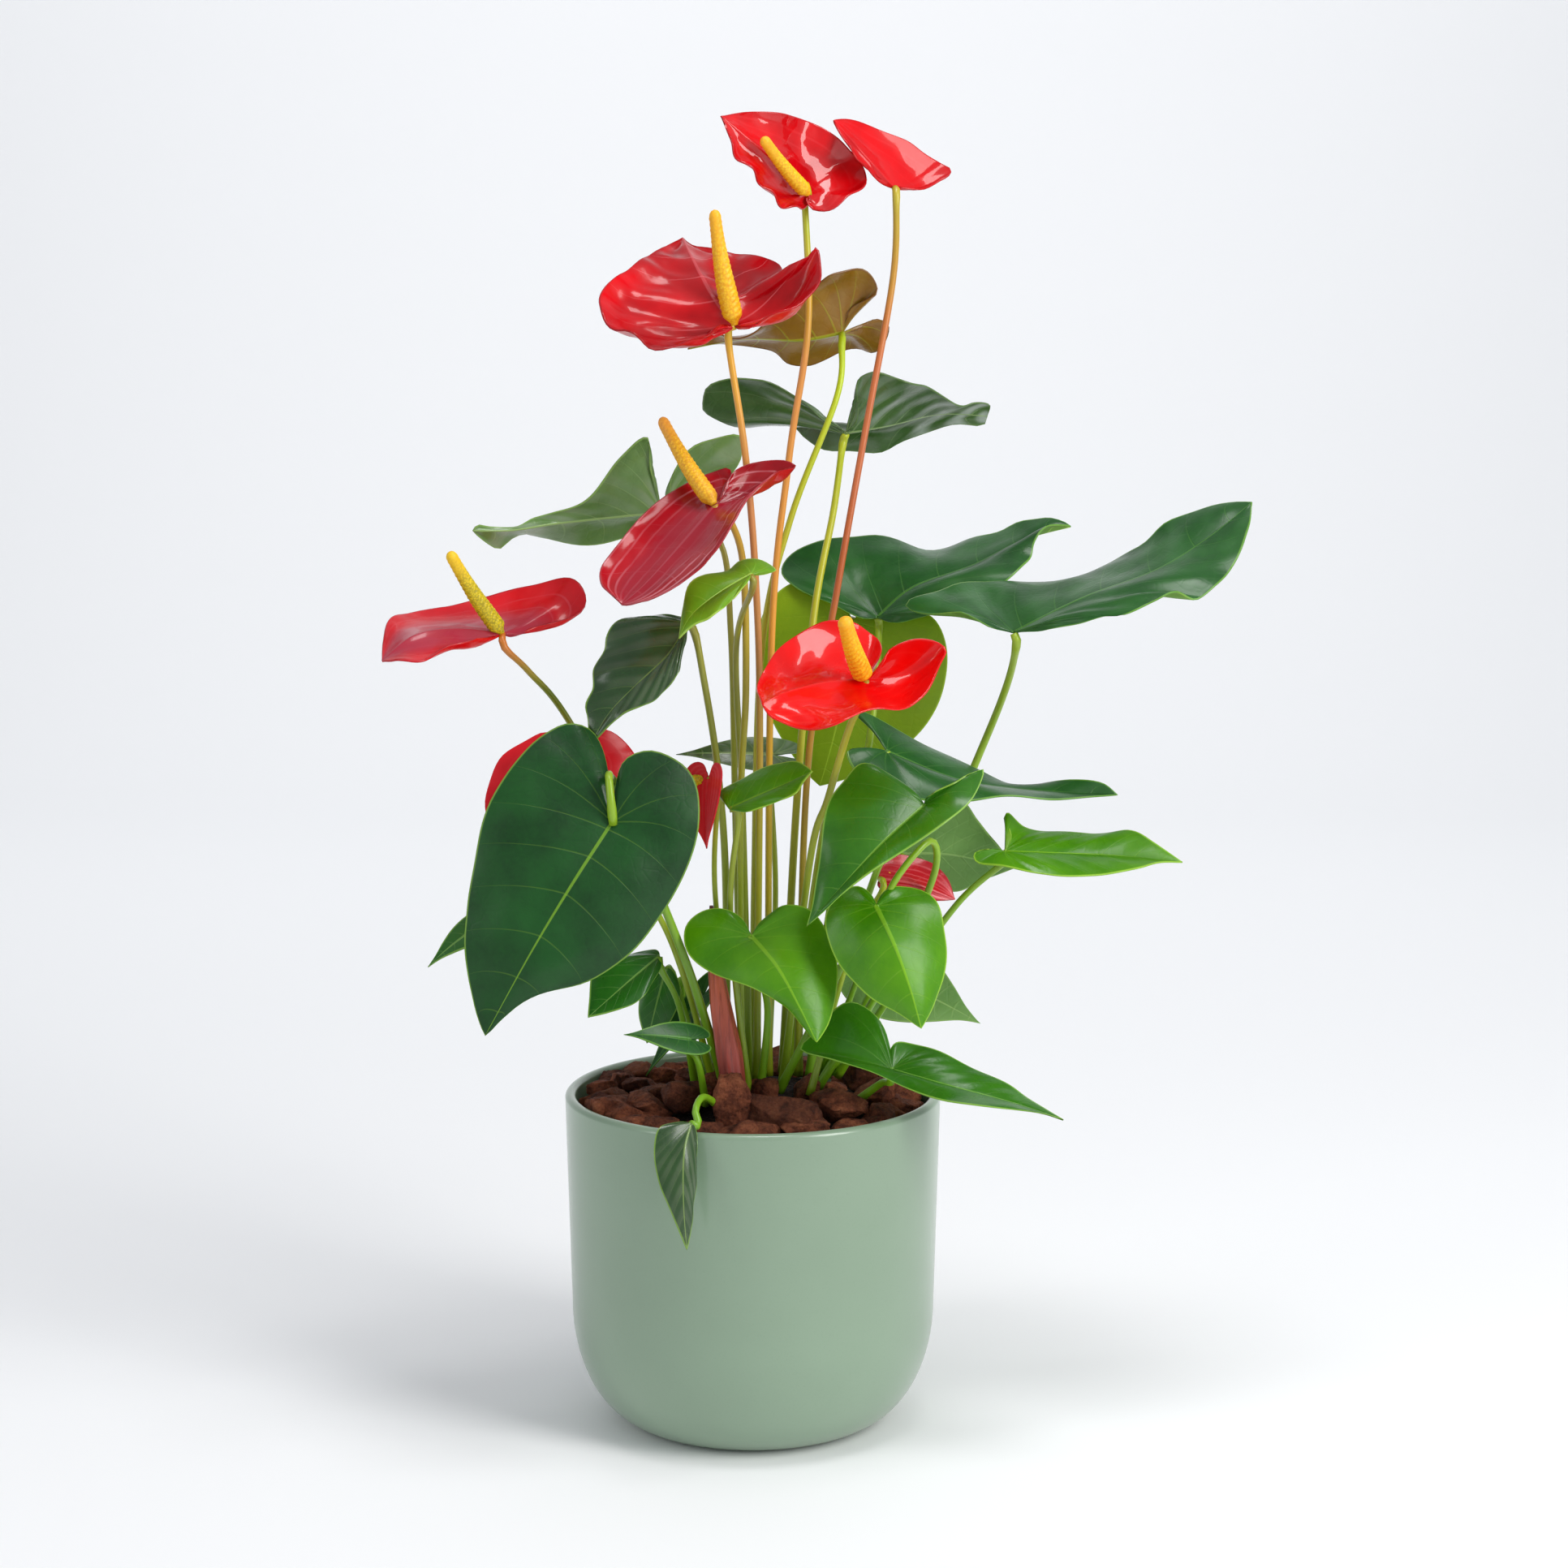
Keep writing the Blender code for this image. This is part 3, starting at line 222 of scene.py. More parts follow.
        right=[(63, -42, 300), (63, -38, 304), (71, -32, 308), (81, -29, 307), (94, -26, 301), (102, -31, 293)], bulge=(0.1, 0.1)),
}

SHEATH = [((-9, -39, 180.5), 6.0), ((-12, -38, 205), 6.6), ((-17, -38, 235), 5.2), ((-20, -38, 262), 3.2), ((-21, -38, 284), 0.9)]


# ------------------------------------------------------------------ helpers
def srgb(r, g, b):
    """a colour given as 0-255 values, in linear light"""
    def f(c):
        c /= 255.0
        return c / 12.92 if c <= 0.04045 else ((c + 0.055) / 1.055) ** 2.4
    return (f(r), f(g), f(b), 1.0)


def chain(points, n):
    """n points at even steps of index along a smooth curve through the points"""
    m = len(points)
    out = []
    for i in range(n):
        t = i / (n - 1) * (m - 1)
        k = min(int(t), m - 2)
        f = t - k
        p0, p1, p2, p3 = points[max(k - 1, 0)], points[k], points[k + 1], points[min(k + 2, m - 1)]
        out.append(0.5 * (2 * p1 + (p2 - p0) * f + (2 * p0 - 5 * p1 + 4 * p2 - p3) * f * f
                          + (3 * p1 - p0 - 3 * p2 + p3) * f ** 3))
    return out


def even(points, n, power=1.0):
    """n points at even lengths along the same smooth curve"""
    fine = chain(points, max(120, 14 * len(points)))
    run = [0.0]
    for a, b in zip(fine, fine[1:]):
        run.append(run[-1] + (b - a).length)
    out, k = [], 0
    for i in range(n):
        want = run[-1] * (i / (n - 1)) ** power
        while k < len(run) - 2 and run[k + 1] < want:
            k += 1
        step = run[k + 1] - run[k]
        out.append(fine[k].lerp(fine[k + 1], min(1.0, max(0.0, (want - run[k]) / step)) if step > 1e-9 else 0.0))
    return out


def smoothed(x, lo, hi):
    t = min(1.0, max(0.0, (x - lo) / (hi - lo)))
    return t * t * (3 - 2 * t)


def new_mesh(name, verts, faces, mats, smooth=True):
    me = bpy.data.meshes.new(name)
    me.from_pydata([tuple(v * MM) for v in verts], [], faces)
    for m in mats:
        me.materials.append(m)
    if smooth:
        me.polygons.foreach_set('use_smooth', [True] * len(me.polygons))
    ob = bpy.data.objects.new(name, me)
    bpy.context.scene.collection.objects.link(ob)
    return ob


def place(ob, slot, *nodes):
    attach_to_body(ob, "root")
    if nodes:
        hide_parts(*nodes)
    return ob


# ------------------------------------------------------------------ materials
class Nodes:
    """a small builder of procedural materials"""

    def __init__(self, name):
        self.mat = bpy.data.materials.new(name)
        self.mat.use_nodes = True
        self.tree = self.mat.node_tree
        self.bsdf = self.tree.nodes['Principled BSDF']
        self.coord = self.node('ShaderNodeTexCoord')

    def node(self, kind, **props):
        n = self.tree.nodes.new(kind)
        for k, v in props.items():
            setattr(n, k, v)
        return n

    def link(self, a, b):
        self.tree.links.new(a, b)

    def put(self, socket, value):
        if isinstance(value, bpy.types.NodeSocket):
            self.link(value, socket)
        elif value is not None:
            socket.default_value = value

    def math(self, op, a, b=None, c=None, clamp=False):
        n = self.node('ShaderNodeMath', operation=op, use_clamp=clamp)
        for s, v in zip(n.inputs, (a, b, c)):
            self.put(s, v)
        return n.outputs[0]

    def attr(self, name):
        n = self.node('ShaderNodeAttribute', attribute_name=name, attribute_type='GEOMETRY')
        return n.outputs['Fac']

    def uv(self):
        n = self.node('ShaderNodeSeparateXYZ')
        self.link(self.coord.outputs['UV'], n.inputs[0])
        return n.outputs[0], n.outputs[1]

    def noise(self, scale, detail=4.0, rough=0.55, stretch=None, distortion=0.0):
        n = self.node('ShaderNodeTexNoise')
        n.inputs['Scale'].default_value = scale
        n.inputs['Detail'].default_value = detail
        n.inputs['Roughness'].default_value = rough
        n.inputs['Distortion'].default_value = distortion
        src = self.coord.outputs['Object']
        if stretch:
            m = self.node('ShaderNodeMapping')
            m.inputs['Scale'].default_value = stretch
            self.link(src, m.inputs[0])
            src = m.outputs[0]
        self.link(src, n.inputs['Vector'])
        return n.outputs['Fac']

    def cells(self, scale, feature='F1', smooth=None, randomness=1.0):
        n = self.node('ShaderNodeTexVoronoi', feature=feature)
        n.inputs['Scale'].default_value = scale
        n.inputs['Randomness'].default_value = randomness
        self.link(self.coord.outputs['Object'], n.inputs['Vector'])
        return n.outputs['Distance']

    def ramp(self, value, stops, ease='LINEAR'):
        n = self.node('ShaderNodeValToRGB')
        n.color_ramp.interpolation = ease
        els = n.color_ramp.elements
        while len(els) < len(stops):
            els.new(0.5)
        for e, (p, c) in zip(els, stops):
            e.position = p
            e.color = c if len(c) == 4 else (*c, 1.0)
        self.link(value, n.inputs[0])
        return n.outputs[0]

    def grey(self, value, stops):
        n = self.node('ShaderNodeValToRGB')
        els = n.color_ramp.elements
        while len(els) < len(stops):
            els.new(0.5)
        for e, (p, g) in zip(els, stops):
            e.position = p
            e.color = (g, g, g, 1.0)
        self.link(value, n.inputs[0])
        return n.outputs[0]

    def mix(self, fac, a, b, kind='MIX'):
        n = self.node('ShaderNodeMix', data_type='RGBA', blend_type=kind)
        self.put(n.inputs[0], fac)
        self.put(n.inputs[6], a)
        self.put(n.inputs[7], b)
        return n.outputs[2]

    def range(self, value, lo, hi, to_lo=0.0, to_hi=1.0, smooth=True):
        n = self.node('ShaderNodeMapRange')
        if smooth:
            n.interpolation_type = 'SMOOTHSTEP'
        self.put(n.inputs['Value'], value)
        self.put(n.inputs['From Min'], lo)
        self.put(n.inputs['From Max'], hi)
        self.put(n.inputs['To Min'], to_lo)
        self.put(n.inputs['To Max'], to_hi)
        return n.outputs[0]

    def bump(self, height, strength, distance, before=None):
        n = self.node('ShaderNodeBump')
        n.inputs['Strength'].default_value = strength
        n.inputs['Distance'].default_value = distance
        self.link(height, n.inputs['Height'])
        if before is not None:
            self.link(before, n.inputs['Normal'])
        return n.outputs[0]

    def finish(self, colour=None, rough=0.5, normal=None, coat=0.0, coat_rough=0.1, spec=0.5, sub=0.0, sub_scale=0.004, radius=(1.0, 0.3, 0.1)):
        b = self.bsdf.inputs
        self.put(b['Base Color'], colour)
        self.put(b['Roughness'], rough)
        b['Metallic'].default_value = 0.0
        b['Specular IOR Level'].default_value = spec
        b['Coat Weight'].default_value = coat
        b['Coat Roughness'].default_value = coat_rough
        if sub:
            b['Subsurface Weight'].default_value = sub
            b['Subsurface Scale'].default_value = sub_scale
            b['Subsurface Radius'].default_value = radius
        if normal is not None:
            self.link(normal, b['Normal'])
        return self.mat


VEINS = 11           # lateral veins on each half of a leaf


def vein_mask(k, width, count=VEINS):
    """1 on the lateral veins and the midrib, from the sheet's own coordinates"""
    u, v = k.uv()
    f = k.math('FRACT', k.math('SUBTRACT', k.math('MULTIPLY', u, float(count)), k.math('MULTIPLY', k.math('POWER', v, 1.6), 0.55)))
    d = k.math('MULTIPLY', k.math('MINIMUM', f, k.math('SUBTRACT', 1.0, f)), k.attr('gap'))
    w = k.range(v, 0.0, 1.0, width, width * 0.3, False)
    lateral = k.range(k.math('DIVIDE', d, w), 0.5, 1.3, 1.0, 0.0)
    rib = k.range(k.math('DIVIDE', k.attr('rib'), k.attr('ribw')), 0.6, 1.1, 1.0, 0.0)
    return lateral, rib


def leaf_material(name, dark, light, vein, edge, rough=0.3, coat=0.25, gloss_noise=0.12, vein_show=0.5, rib_show=0.9, under=False, edge_show=0.8, streak=None):
    """a leaf blade: mottled green, paler veins and margin, fine cell relief; a given streak paints sheen between the
    side veins
    """
    k = Nodes(name)
    lateral, rib = vein_mask(k, 0.42 if not under else 0.6)
    base = k.mix(k.grey(k.noise(26.0, 5.0, 0.6), [(0.3, 0.0), (0.72, 1.0)]), dark, light)
    speck = k.grey(k.noise(420.0, 3.0, 0.6), [(0.35, 0.0), (0.75, 1.0)])
    base = k.mix(k.math('MULTIPLY', speck, 0.22), base, light)
    u, v = k.uv()
    if streak:
        # painted sheen: pale bands of the streak colour between the side veins
        ph = k.math('SUBTRACT', k.math('MULTIPLY', u, float(VEINS)), k.math('MULTIPLY', k.math('POWER', v, 1.6), 0.55))
        painted_sheen_band = k.math('MULTIPLY', k.math('ADD', k.math('SINE', k.math('MULTIPLY', k.math('ADD', ph, k.noise(16.0, 3.0)), 6.283)), 1.0), 0.5)
        painted_sheen_band = k.math('MULTIPLY', k.range(painted_sheen_band, 0.0, 1.0), k.range(k.noise(13.0, 3.0, 0.6), 0.42, 0.66))
        base = k.mix(k.math('MULTIPLY', painted_sheen_band, streak[1]), base, streak[0])
    near = k.range(v, 0.0, 1.0, 1.0, 0.35, False)
    lateral = k.math('MULTIPLY', lateral, near)
    base = k.mix(k.math('MULTIPLY', lateral, vein_show), base, vein)
    base = k.mix(k.math('MULTIPLY', rib, rib_show), base, vein)
    rim = k.range(k.attr('edge'), 0.35, 1.1, edge_show, 0.0)
    base = k.mix(rim, base, edge)
    tiny = k.cells(520.0, 'DISTANCE_TO_EDGE')
    net = k.cells(150.0, 'DISTANCE_TO_EDGE')
    n1 = k.bump(k.grey(net, [(0.0, 0.0), (0.12, 1.0)]), 0.10 if not under else 0.18, 0.0004)
    n2 = k.bump(k.math('ADD', k.math('MULTIPLY', lateral, 1.0 if under else -1.0), k.math('MULTIPLY', rib, 1.4)), 0.35, 0.0005, n1)
    n3 = k.bump(k.noise(60.0, 3.0, 0.5), 0.25, 0.0012, n2)
    rr = k.range(k.noise(34.0, 4.0, 0.6), 0.3, 0.7, rough - gloss_noise * 0.5, rough + gloss_noise)
    return k.finish(base, rr, n3, coat, 0.2, 0.22, sub=0.06, sub_scale=0.003, radius=(0.3, 1.0, 0.1))


def spathe_material(name, deep, bright, painted_vein_sheen, rough=0.34, coat=0.6, coat_rough=0.09, show=0.35, bumpy=0.5, lengthwise=True, centre=None):
    """a spathe: waxy lacquered red with embossed veins, painted sheen along the veins"""
    k = Nodes(name)
    u, v = k.uv()
    drift = k.math('MULTIPLY', k.math('SUBTRACT', k.noise(22.0, 2.0), 0.5), 0.16)
    ph = k.math('ADD', k.math('MULTIPLY', v, 5.0), k.math('MULTIPLY', drift, 5.0))
    f = k.math('FRACT', k.math('ADD', ph, 0.5))
    away = k.math('MULTIPLY', k.math('ABSOLUTE', k.math('SUBTRACT', f, 0.5)), k.math('MULTIPLY', k.attr('span'), 0.2))
    long_veins = k.math('MULTIPLY', k.range(away, 0.25, 0.85, 1.0, 0.0), k.range(v, 0.10, 0.22))
    cross, rib = vein_mask(k, 0.5, 9)
    lateral = k.math('MAXIMUM', long_veins, k.math('MULTIPLY', cross, 0.35)) if lengthwise else cross
    base = k.mix(k.grey(k.noise(22.0, 4.0, 0.55), [(0.32, 0.0), (0.7, 1.0)]), deep, bright)
    patchy = k.range(k.noise(26.0, 3.0, 0.6), 0.38, 0.62, 0.25, 1.0)
    # painted reflection: patches of pale sheen colour laid along the veins and the midrib
    base = k.mix(k.math('MULTIPLY', k.math('MULTIPLY', lateral, patchy), show), base, painted_vein_sheen)
    base = k.mix(k.math('MULTIPLY', rib, show * 0.8), base, painted_vein_sheen)
    # painted sheen: a paler, greyer wash of the given colour towards the midrib
    if centre:
        base = k.mix(k.math('MULTIPLY', k.range(k.math('ADD', v, k.math('MULTIPLY', k.noise(18.0, 3.0), 0.5)), 0.55, 0.95, 1.0, 0.0), 0.75), base, centre)
    rim = k.range(k.attr('edge'), 0.3, 1.0, 0.55, 0.0)
    base = k.mix(rim, base, deep)
    net = k.cells(95.0, 'SMOOTH_F1')
    n1 = k.bump(net, 0.35 * bumpy, 0.0016)
    n2 = k.bump(k.math('ADD', lateral, k.math('MULTIPLY', rib, 1.3)), -0.4, 0.0006, n1)
    n3 = k.bump(k.noise(300.0, 2.0, 0.5), 0.06, 0.0006, n2)
    rr = k.range(k.noise(40.0, 3.0, 0.6), 0.3, 0.7, rough - 0.06, rough + 0.08)
    return k.finish(base, rr, n3, coat, coat_rough, 0.14, sub=0.05, sub_scale=0.002)


def stem_material(name, stops, rough=0.38, streak=0.22):
    """a stem: colour changes with height, with fine lengthwise streaks"""
    k = Nodes(name)
    sep = k.node('ShaderNodeSeparateXYZ')
    k.link(k.coord.outputs['Object'], sep.inputs[0])
    lo, hi = stops[0][0] * MM, stops[-1][0] * MM
    t = k.range(sep.outputs[2], lo, hi, 0.0, 1.0, False)
    wobble = k.math('MULTIPLY', k.math('SUBTRACT', k.noise(30.0, 3.0), 0.5), 0.10)
    t = k.math('ADD', t, wobble, clamp=True)
    base = k.ramp(t, [((z * MM - lo) / (hi - lo), c) for z, c in stops])
    lines = k.noise(9.0, 3.0, 0.6, stretch=(60.0, 60.0, 1.6))
    base = k.mix(k.math('MULTIPLY', k.grey(lines, [(0.45, 0.0), (0.75, 1.0)]), streak), base, k.mix(0.35, base, (0.20, 0.07, 0.01, 1.0)))
    n = k.bump(lines, 0.25, 0.0005)
    return k.finish(base, rough, n, 0.15, 0.2)


G = {}


def make_materials():
    vein = srgb(150, 185, 70)
    G['dark'] = leaf_material('leaf_dark', srgb(12, 48, 18), srgb(26, 80, 30), srgb(112, 156, 40), srgb(126, 165, 66), 0.36, 0.14, vein_show=0.22, rib_show=0.75)
    # the streak colours of deep, dusky, greyish, silver and bronze are painted sheen
    G['deep'] = leaf_material('leaf_deep', srgb(20, 66, 24), srgb(40, 98, 34), srgb(84, 140, 50), srgb(110, 160, 60), 0.34, 0.22, vein_show=0.25, rib_show=0.6, streak=(srgb(84, 128, 84), 0.35))
    G['mid'] = leaf_material('leaf_mid', srgb(26, 80, 20), srgb(46, 110, 26), srgb(110, 156, 70), srgb(130, 172, 70), 0.3, 0.35, vein_show=0.22)
    G['fresh'] = leaf_material('leaf_fresh', srgb(34, 92, 10), srgb(58, 122, 14), srgb(116, 170, 60), srgb(140, 186, 70), 0.3, 0.3, vein_show=0.22)
    G['bright'] = leaf_material('leaf_bright', srgb(54, 118, 2), srgb(88, 150, 8), srgb(136, 188, 40), srgb(154, 198, 60), 0.32, 0.2, vein_show=0.2, rib_show=0.6)
    G['lime'] = leaf_material('leaf_lime', srgb(84, 138, 18), srgb(122, 168, 34), srgb(150, 196, 60), srgb(166, 205, 80), 0.36, 0.2, vein_show=0.3)
    G['yellow'] = leaf_material('leaf_yellow', srgb(106, 138, 4), srgb(130, 160, 14), srgb(146, 176, 40), srgb(156, 188, 50), 0.5, 0.05, vein_show=0.2)
    G['dusky'] = leaf_material('leaf_dusky', srgb(28, 58, 24), srgb(48, 78, 38), srgb(110, 136, 70), srgb(120, 156, 60), 0.28, 0.6, vein_show=0.25, streak=(srgb(104, 116, 92), 0.4))
    G['greyish'] = leaf_material('leaf_greyish', srgb(42, 72, 30), srgb(70, 102, 48), srgb(130, 156, 96), srgb(90, 120, 60), 0.28, 0.7, vein_show=0.35, under=True, streak=(srgb(160, 170, 162), 0.7))
    G['silver'] = leaf_material('leaf_silver', srgb(74, 108, 52), srgb(106, 140, 74), srgb(140, 170, 100), srgb(130, 165, 80), 0.36, 0.4, vein_show=0.35, under=True, streak=(srgb(150, 164, 142), 0.55))
    G['under'] = leaf_material('leaf_under', srgb(84, 126, 44), srgb(112, 152, 64), srgb(150, 184, 84), srgb(140, 178, 70), 0.5, 0.05, under=True, vein_show=0.5)
    G['pale'] = leaf_material('leaf_pale', srgb(88, 132, 62), srgb(120, 160, 86), srgb(140, 176, 100), srgb(140, 176, 94), 0.5, 0.05, under=True, vein_show=0.4)
    G['bronze'] = leaf_material('leaf_bronze', srgb(112, 76, 10), srgb(150, 108, 26), srgb(160, 165, 30), srgb(112, 70, 20), 0.32, 0.5, under=True, vein_show=0.5, streak=(srgb(166, 140, 80), 0.3))
    # each spathe's third colour is a painted vein sheen
    G['red'] = spathe_material('spathe_red', srgb(176, 0, 8), srgb(226, 0, 10), srgb(236, 86, 92), 0.36, 0.42, 0.07, 0.12)
    G['lacquer'] = spathe_material('spathe_lacquer', srgb(176, 0, 8), srgb(226, 0, 10), srgb(236, 86, 92), 0.36, 0.8, 0.03, 0.1, 1.6)
    G['vein_red'] = spathe_material('spathe_veined', srgb(150, 0, 10), srgb(214, 0, 14), srgb(232, 120, 126), 0.36, 0.42, 0.12, 0.34, 0.7, False)
    G['vivid'] = spathe_material('spathe_vivid', srgb(206, 0, 2), srgb(242, 6, 2), srgb(250, 90, 70), 0.32, 0.5, 0.04, 0.08, 0.4)
    # the last colour of crimson and maroon is a painted sheen towards the midrib
    G['crimson'] = spathe_material('spathe_crimson', srgb(140, 0, 14), srgb(188, 0, 22), srgb(222, 140, 150), 0.38, 0.46, 0.12, 0.62, 0.6, True, srgb(150, 26, 44))
    G['maroon'] = spathe_material('spathe_maroon', srgb(172, 0, 18), srgb(220, 2, 22), srgb(216, 110, 124), 0.38, 0.5, 0.14, 0.18, 0.5, True, srgb(164, 50, 70))
    G['coral'] = spathe_material('spathe_coral', srgb(206, 8, 26), srgb(236, 34, 46), srgb(240, 120, 120), 0.42, 0.3, 0.2, 0.15, 1.6)
    G['outer'] = spathe_material('spathe_outer', srgb(150, 6, 22), srgb(196, 22, 40), srgb(226, 104, 112), 0.4, 0.5, 0.2, 0.6, 0.8)

    G['stem_gold'] = stem_material('stem_gold', [(184, srgb(142, 166, 24)), (300, srgb(180, 176, 34)), (420, srgb(196, 132, 66)), (500, srgb(206, 136, 74)), (560, srgb(228, 168, 46)), (590, srgb(206, 184, 24))])
    G['stem_lime'] = stem_material('stem_lime', [(184, srgb(146, 166, 24)), (330, srgb(196, 164, 34)), (420, srgb(224, 154, 52)), (560, srgb(212, 140, 66)), (610, srgb(196, 160, 40)), (632, srgb(172, 190, 20))])
    G['stem_salmon'] = stem_material('stem_salmon', [(184, srgb(140, 160, 26)), (330, srgb(172, 140, 38)), (450, srgb(180, 92, 44)), (560, srgb(196, 108, 60)), (625, srgb(190, 150, 44)), (645, srgb(180, 172, 46))])
    G['stem_olive'] = stem_material('stem_olive', [(180, srgb(136, 170, 24)), (300, srgb(162, 178, 30)), (420, srgb(172, 152, 34)), (520, srgb(196, 140, 40))])
    G['stem_orange'] = stem_material('stem_orange', [(184, srgb(132, 166, 26)), (300, srgb(156, 164, 28)), (392, srgb(118, 138, 26)), (410, srgb(160, 130, 36)), (424, srgb(216, 108, 36))])
    G['pet_green'] = stem_material('petiole_green', [(176, srgb(114, 166, 18)), (240, srgb(112, 162, 20)), (320, srgb(134, 174, 28)), (420, srgb(146, 172, 36))])
    G['pet_lime'] = stem_material('petiole_lime', [(184, srgb(134, 156, 34)), (340, srgb(170, 172, 40)), (470, srgb(180, 180, 34)), (580, srgb(180, 206, 26))])
    G['pet_olive'] = stem_material('petiole_olive', [(184, srgb(126, 160, 24)), (300, srgb(146, 162, 30)), (440, srgb(146, 142, 50))])

    # spadix: grainy yellow, with painted shade in the grooves between the grains
    for nm, lo, hi, tip in (('spadix', srgb(232, 166, 6), srgb(252, 208, 30), srgb(246, 176, 22)),
                            ('spadix_green', srgb(168, 150, 6), srgb(232, 204, 14), srgb(246, 196, 20)),
                            ('spadix_orange', srgb(222, 156, 6), srgb(250, 198, 22), srgb(234, 156, 60))):
        k = Nodes(nm)
        g = k.cells(900.0, 'F1')
        # painted shade: the grooves between the raised grains take the darker colour
        base = k.mix(k.grey(g, [(0.15, 1.0), (0.75, 0.0)]), lo, hi)
        base = k.mix(k.math('MULTIPLY', k.grey(k.noise(160.0, 4.0), [(0.45, 0.0), (0.75, 1.0)]), 0.3), base, lo)
        t = k.attr('along')
        base = k.mix(k.range(t, 0.55, 0.95, 0.0, 0.75), base, tip)
        n = k.bump(g, -0.5, 0.0006)
        G[nm] = k.finish(base, 0.55, n, 0.1, 0.3, sub=0.1, sub_scale=0.002, radius=(1.0, 0.6, 0.1))

    # cataphyll: pink sheath with dark lengthwise streaks
    k = Nodes('sheath')
    sep = k.node('ShaderNodeSeparateXYZ')
    k.link(k.coord.outputs['Object'], sep.inputs[0])
    t = k.range(sep.outputs[2], 0.182, 0.284, 0.0, 1.0, False)
    base = k.ramp(t, [(0.0, srgb(104, 34, 36)), (0.2, srgb(180, 70, 56)), (0.6, srgb(216, 104, 72)), (0.85, srgb(172, 56, 46)), (1.0, srgb(96, 30, 30))])
    s = k.noise(7.0, 4.0, 0.65, stretch=(70.0, 70.0, 2.0))
    base = k.mix(k.grey(s, [(0.5, 0.0), (0.75, 0.8)]), base, srgb(110, 34, 34))
    G['sheath'] = k.finish(base, 0.42, k.bump(s, 0.5, 0.0008), 0.2, 0.25)

    # pot glaze: satin sage, faint drifts of tone and a soft orange-peel
    k = Nodes('glaze')
    drift = k.grey(k.noise(7.0, 4.0, 0.5), [(0.3, 0.0), (0.7, 1.0)])
    base = k.mix(drift, srgb(126, 150, 126), srgb(134, 158, 134))
    base = k.mix(k.math('MULTIPLY', k.grey(k.noise(900.0, 2.0), [(0.55, 0.0), (0.8, 1.0)]), 0.12), base, srgb(106, 130, 108))
    n = k.bump(k.noise(240.0, 2.0, 0.4), 0.03, 0.0006)
    G['glaze'] = k.finish(base, 0.32, n, 0.55, 0.13)

    # potting mix: dark crumbs
    k = Nodes('mix')
    c = k.cells(260.0, 'F1')
    base = k.ramp(c, [(0.0, srgb(40, 26, 20)), (0.5, srgb(22, 15, 12)), (1.0, srgb(8, 6, 5))])
    G['mix'] = k.finish(base, 0.95, k.bump(c, 0.8, 0.003), 0.0, 0.1, 0.2)

    # bark: red-brown, fibrous, pitted like cork with painted shade in the pits; each chip has its own tone
    k = Nodes('bark')
    tone = k.attr('tone')
    a = k.noise(110.0, 7.0, 0.7, distortion=0.4)
    base = k.ramp(a, [(0.28, srgb(40, 18, 12)), (0.42, srgb(108, 56, 36)), (0.58, srgb(158, 90, 60)), (0.78, srgb(194, 126, 88))])
    base = k.mix(k.range(tone, 0.0, 1.0, 0.0, 1.0, False), base, k.mix(0.58, base, srgb(30, 14, 10)))
    base = k.mix(k.range(tone, 0.9, 1.0, 0.0, 0.6), base, srgb(150, 84, 46))
    pits = k.cells(420.0, 'F1')
    # painted shade: the sunken pits are darkened
    base = k.mix(k.grey(pits, [(0.0, 0.6), (0.25, 0.0)]), base, srgb(36, 16, 12))
    n1 = k.bump(k.noise(70.0, 9.0, 0.8), 1.0, 0.005)
    n2 = k.bump(pits, 0.8, 0.0014, n1)
    G['bark'] = k.finish(base, 0.82, n2, 0.0, 0.1, 0.25)


# ------------------------------------------------------------------ blades
class Blade:
    """a heart-shaped sheet between an attachment point and a tip"""

    def __init__(self, outline, attach, tip, facing, width, bend, folds, curl, lifts, lobe):
        self.outline = outline
        self.a = Vector(attach)
        self.folds = [math.radians(f) for f in folds]
        self.curl = math.radians(curl) if abs(curl) > 0.1 else 0.001
        self.lifts = [math.radians(f) for f in lifts]
        self.lobe = lobe
        n = 60
        self.mid = [(0.0, 0.0, 0.0)]
        x = z = 0.0
        for i in range(n):
            ang = math.radians(bend) * ((i + 0.5) / n) ** 1.3
            x += math.cos(ang) / n
            z -= math.sin(ang) / n
            self.mid.append((x, z, math.radians(bend) * ((i + 1) / n) ** 1.3))
        chord = Vector(tip) - self.a
        reach = math.hypot(x, z)
        self.length = chord.length / reach
        self.half = width / 2
        az, el = math.radians(facing[0]), math.radians(facing[1])
        face = Vector((math.cos(el) * math.cos(az), math.cos(el) * math.sin(az), math.sin(el)))
        e1 = chord.normalized()
        e3 = (face - e1 * face.dot(e1)).normalized()
        cx, cz = x / reach, z / reach
        self.ex = e1 * cx - e3 * cz
        self.ez = e1 * cz + e3 * cx
        self.ey = e3.cross(e1)

    def point(self, u, v, off=0.0):
        side = 0 if v >= 0 else 1
        if u < 0:
            un = -u * self.lobe
            k = self.lifts[side] / 0.33
            if abs(k) < 1e-4:
                k = 1e-4
            x, z, ang = -math.sin(k * un) / k, (1 - math.cos(k * un)) / k, k * un
        else:
            f = min(u, 1.0) * (len(self.mid) - 1)
            i = min(int(f), len(self.mid) - 2)
            g = f - i
            x, z, ang = [p + (q - p) * g for p, q in zip(self.mid[i], self.mid[i + 1])]
        w = abs(v)
        fo, cu, h = self.folds[side], self.curl, self.half
        y = h / cu * (math.sin(fo + cu * w) - math.sin(fo)) * (1 if v >= 0 else -1)
        up = h / cu * (math.cos(fo) - math.cos(fo + cu * w)) + off / self.length
        return self.a + (self.ex * (x + up * math.sin(ang)) + self.ey * y
                         + self.ez * (z + up * math.cos(ang))) * self.length


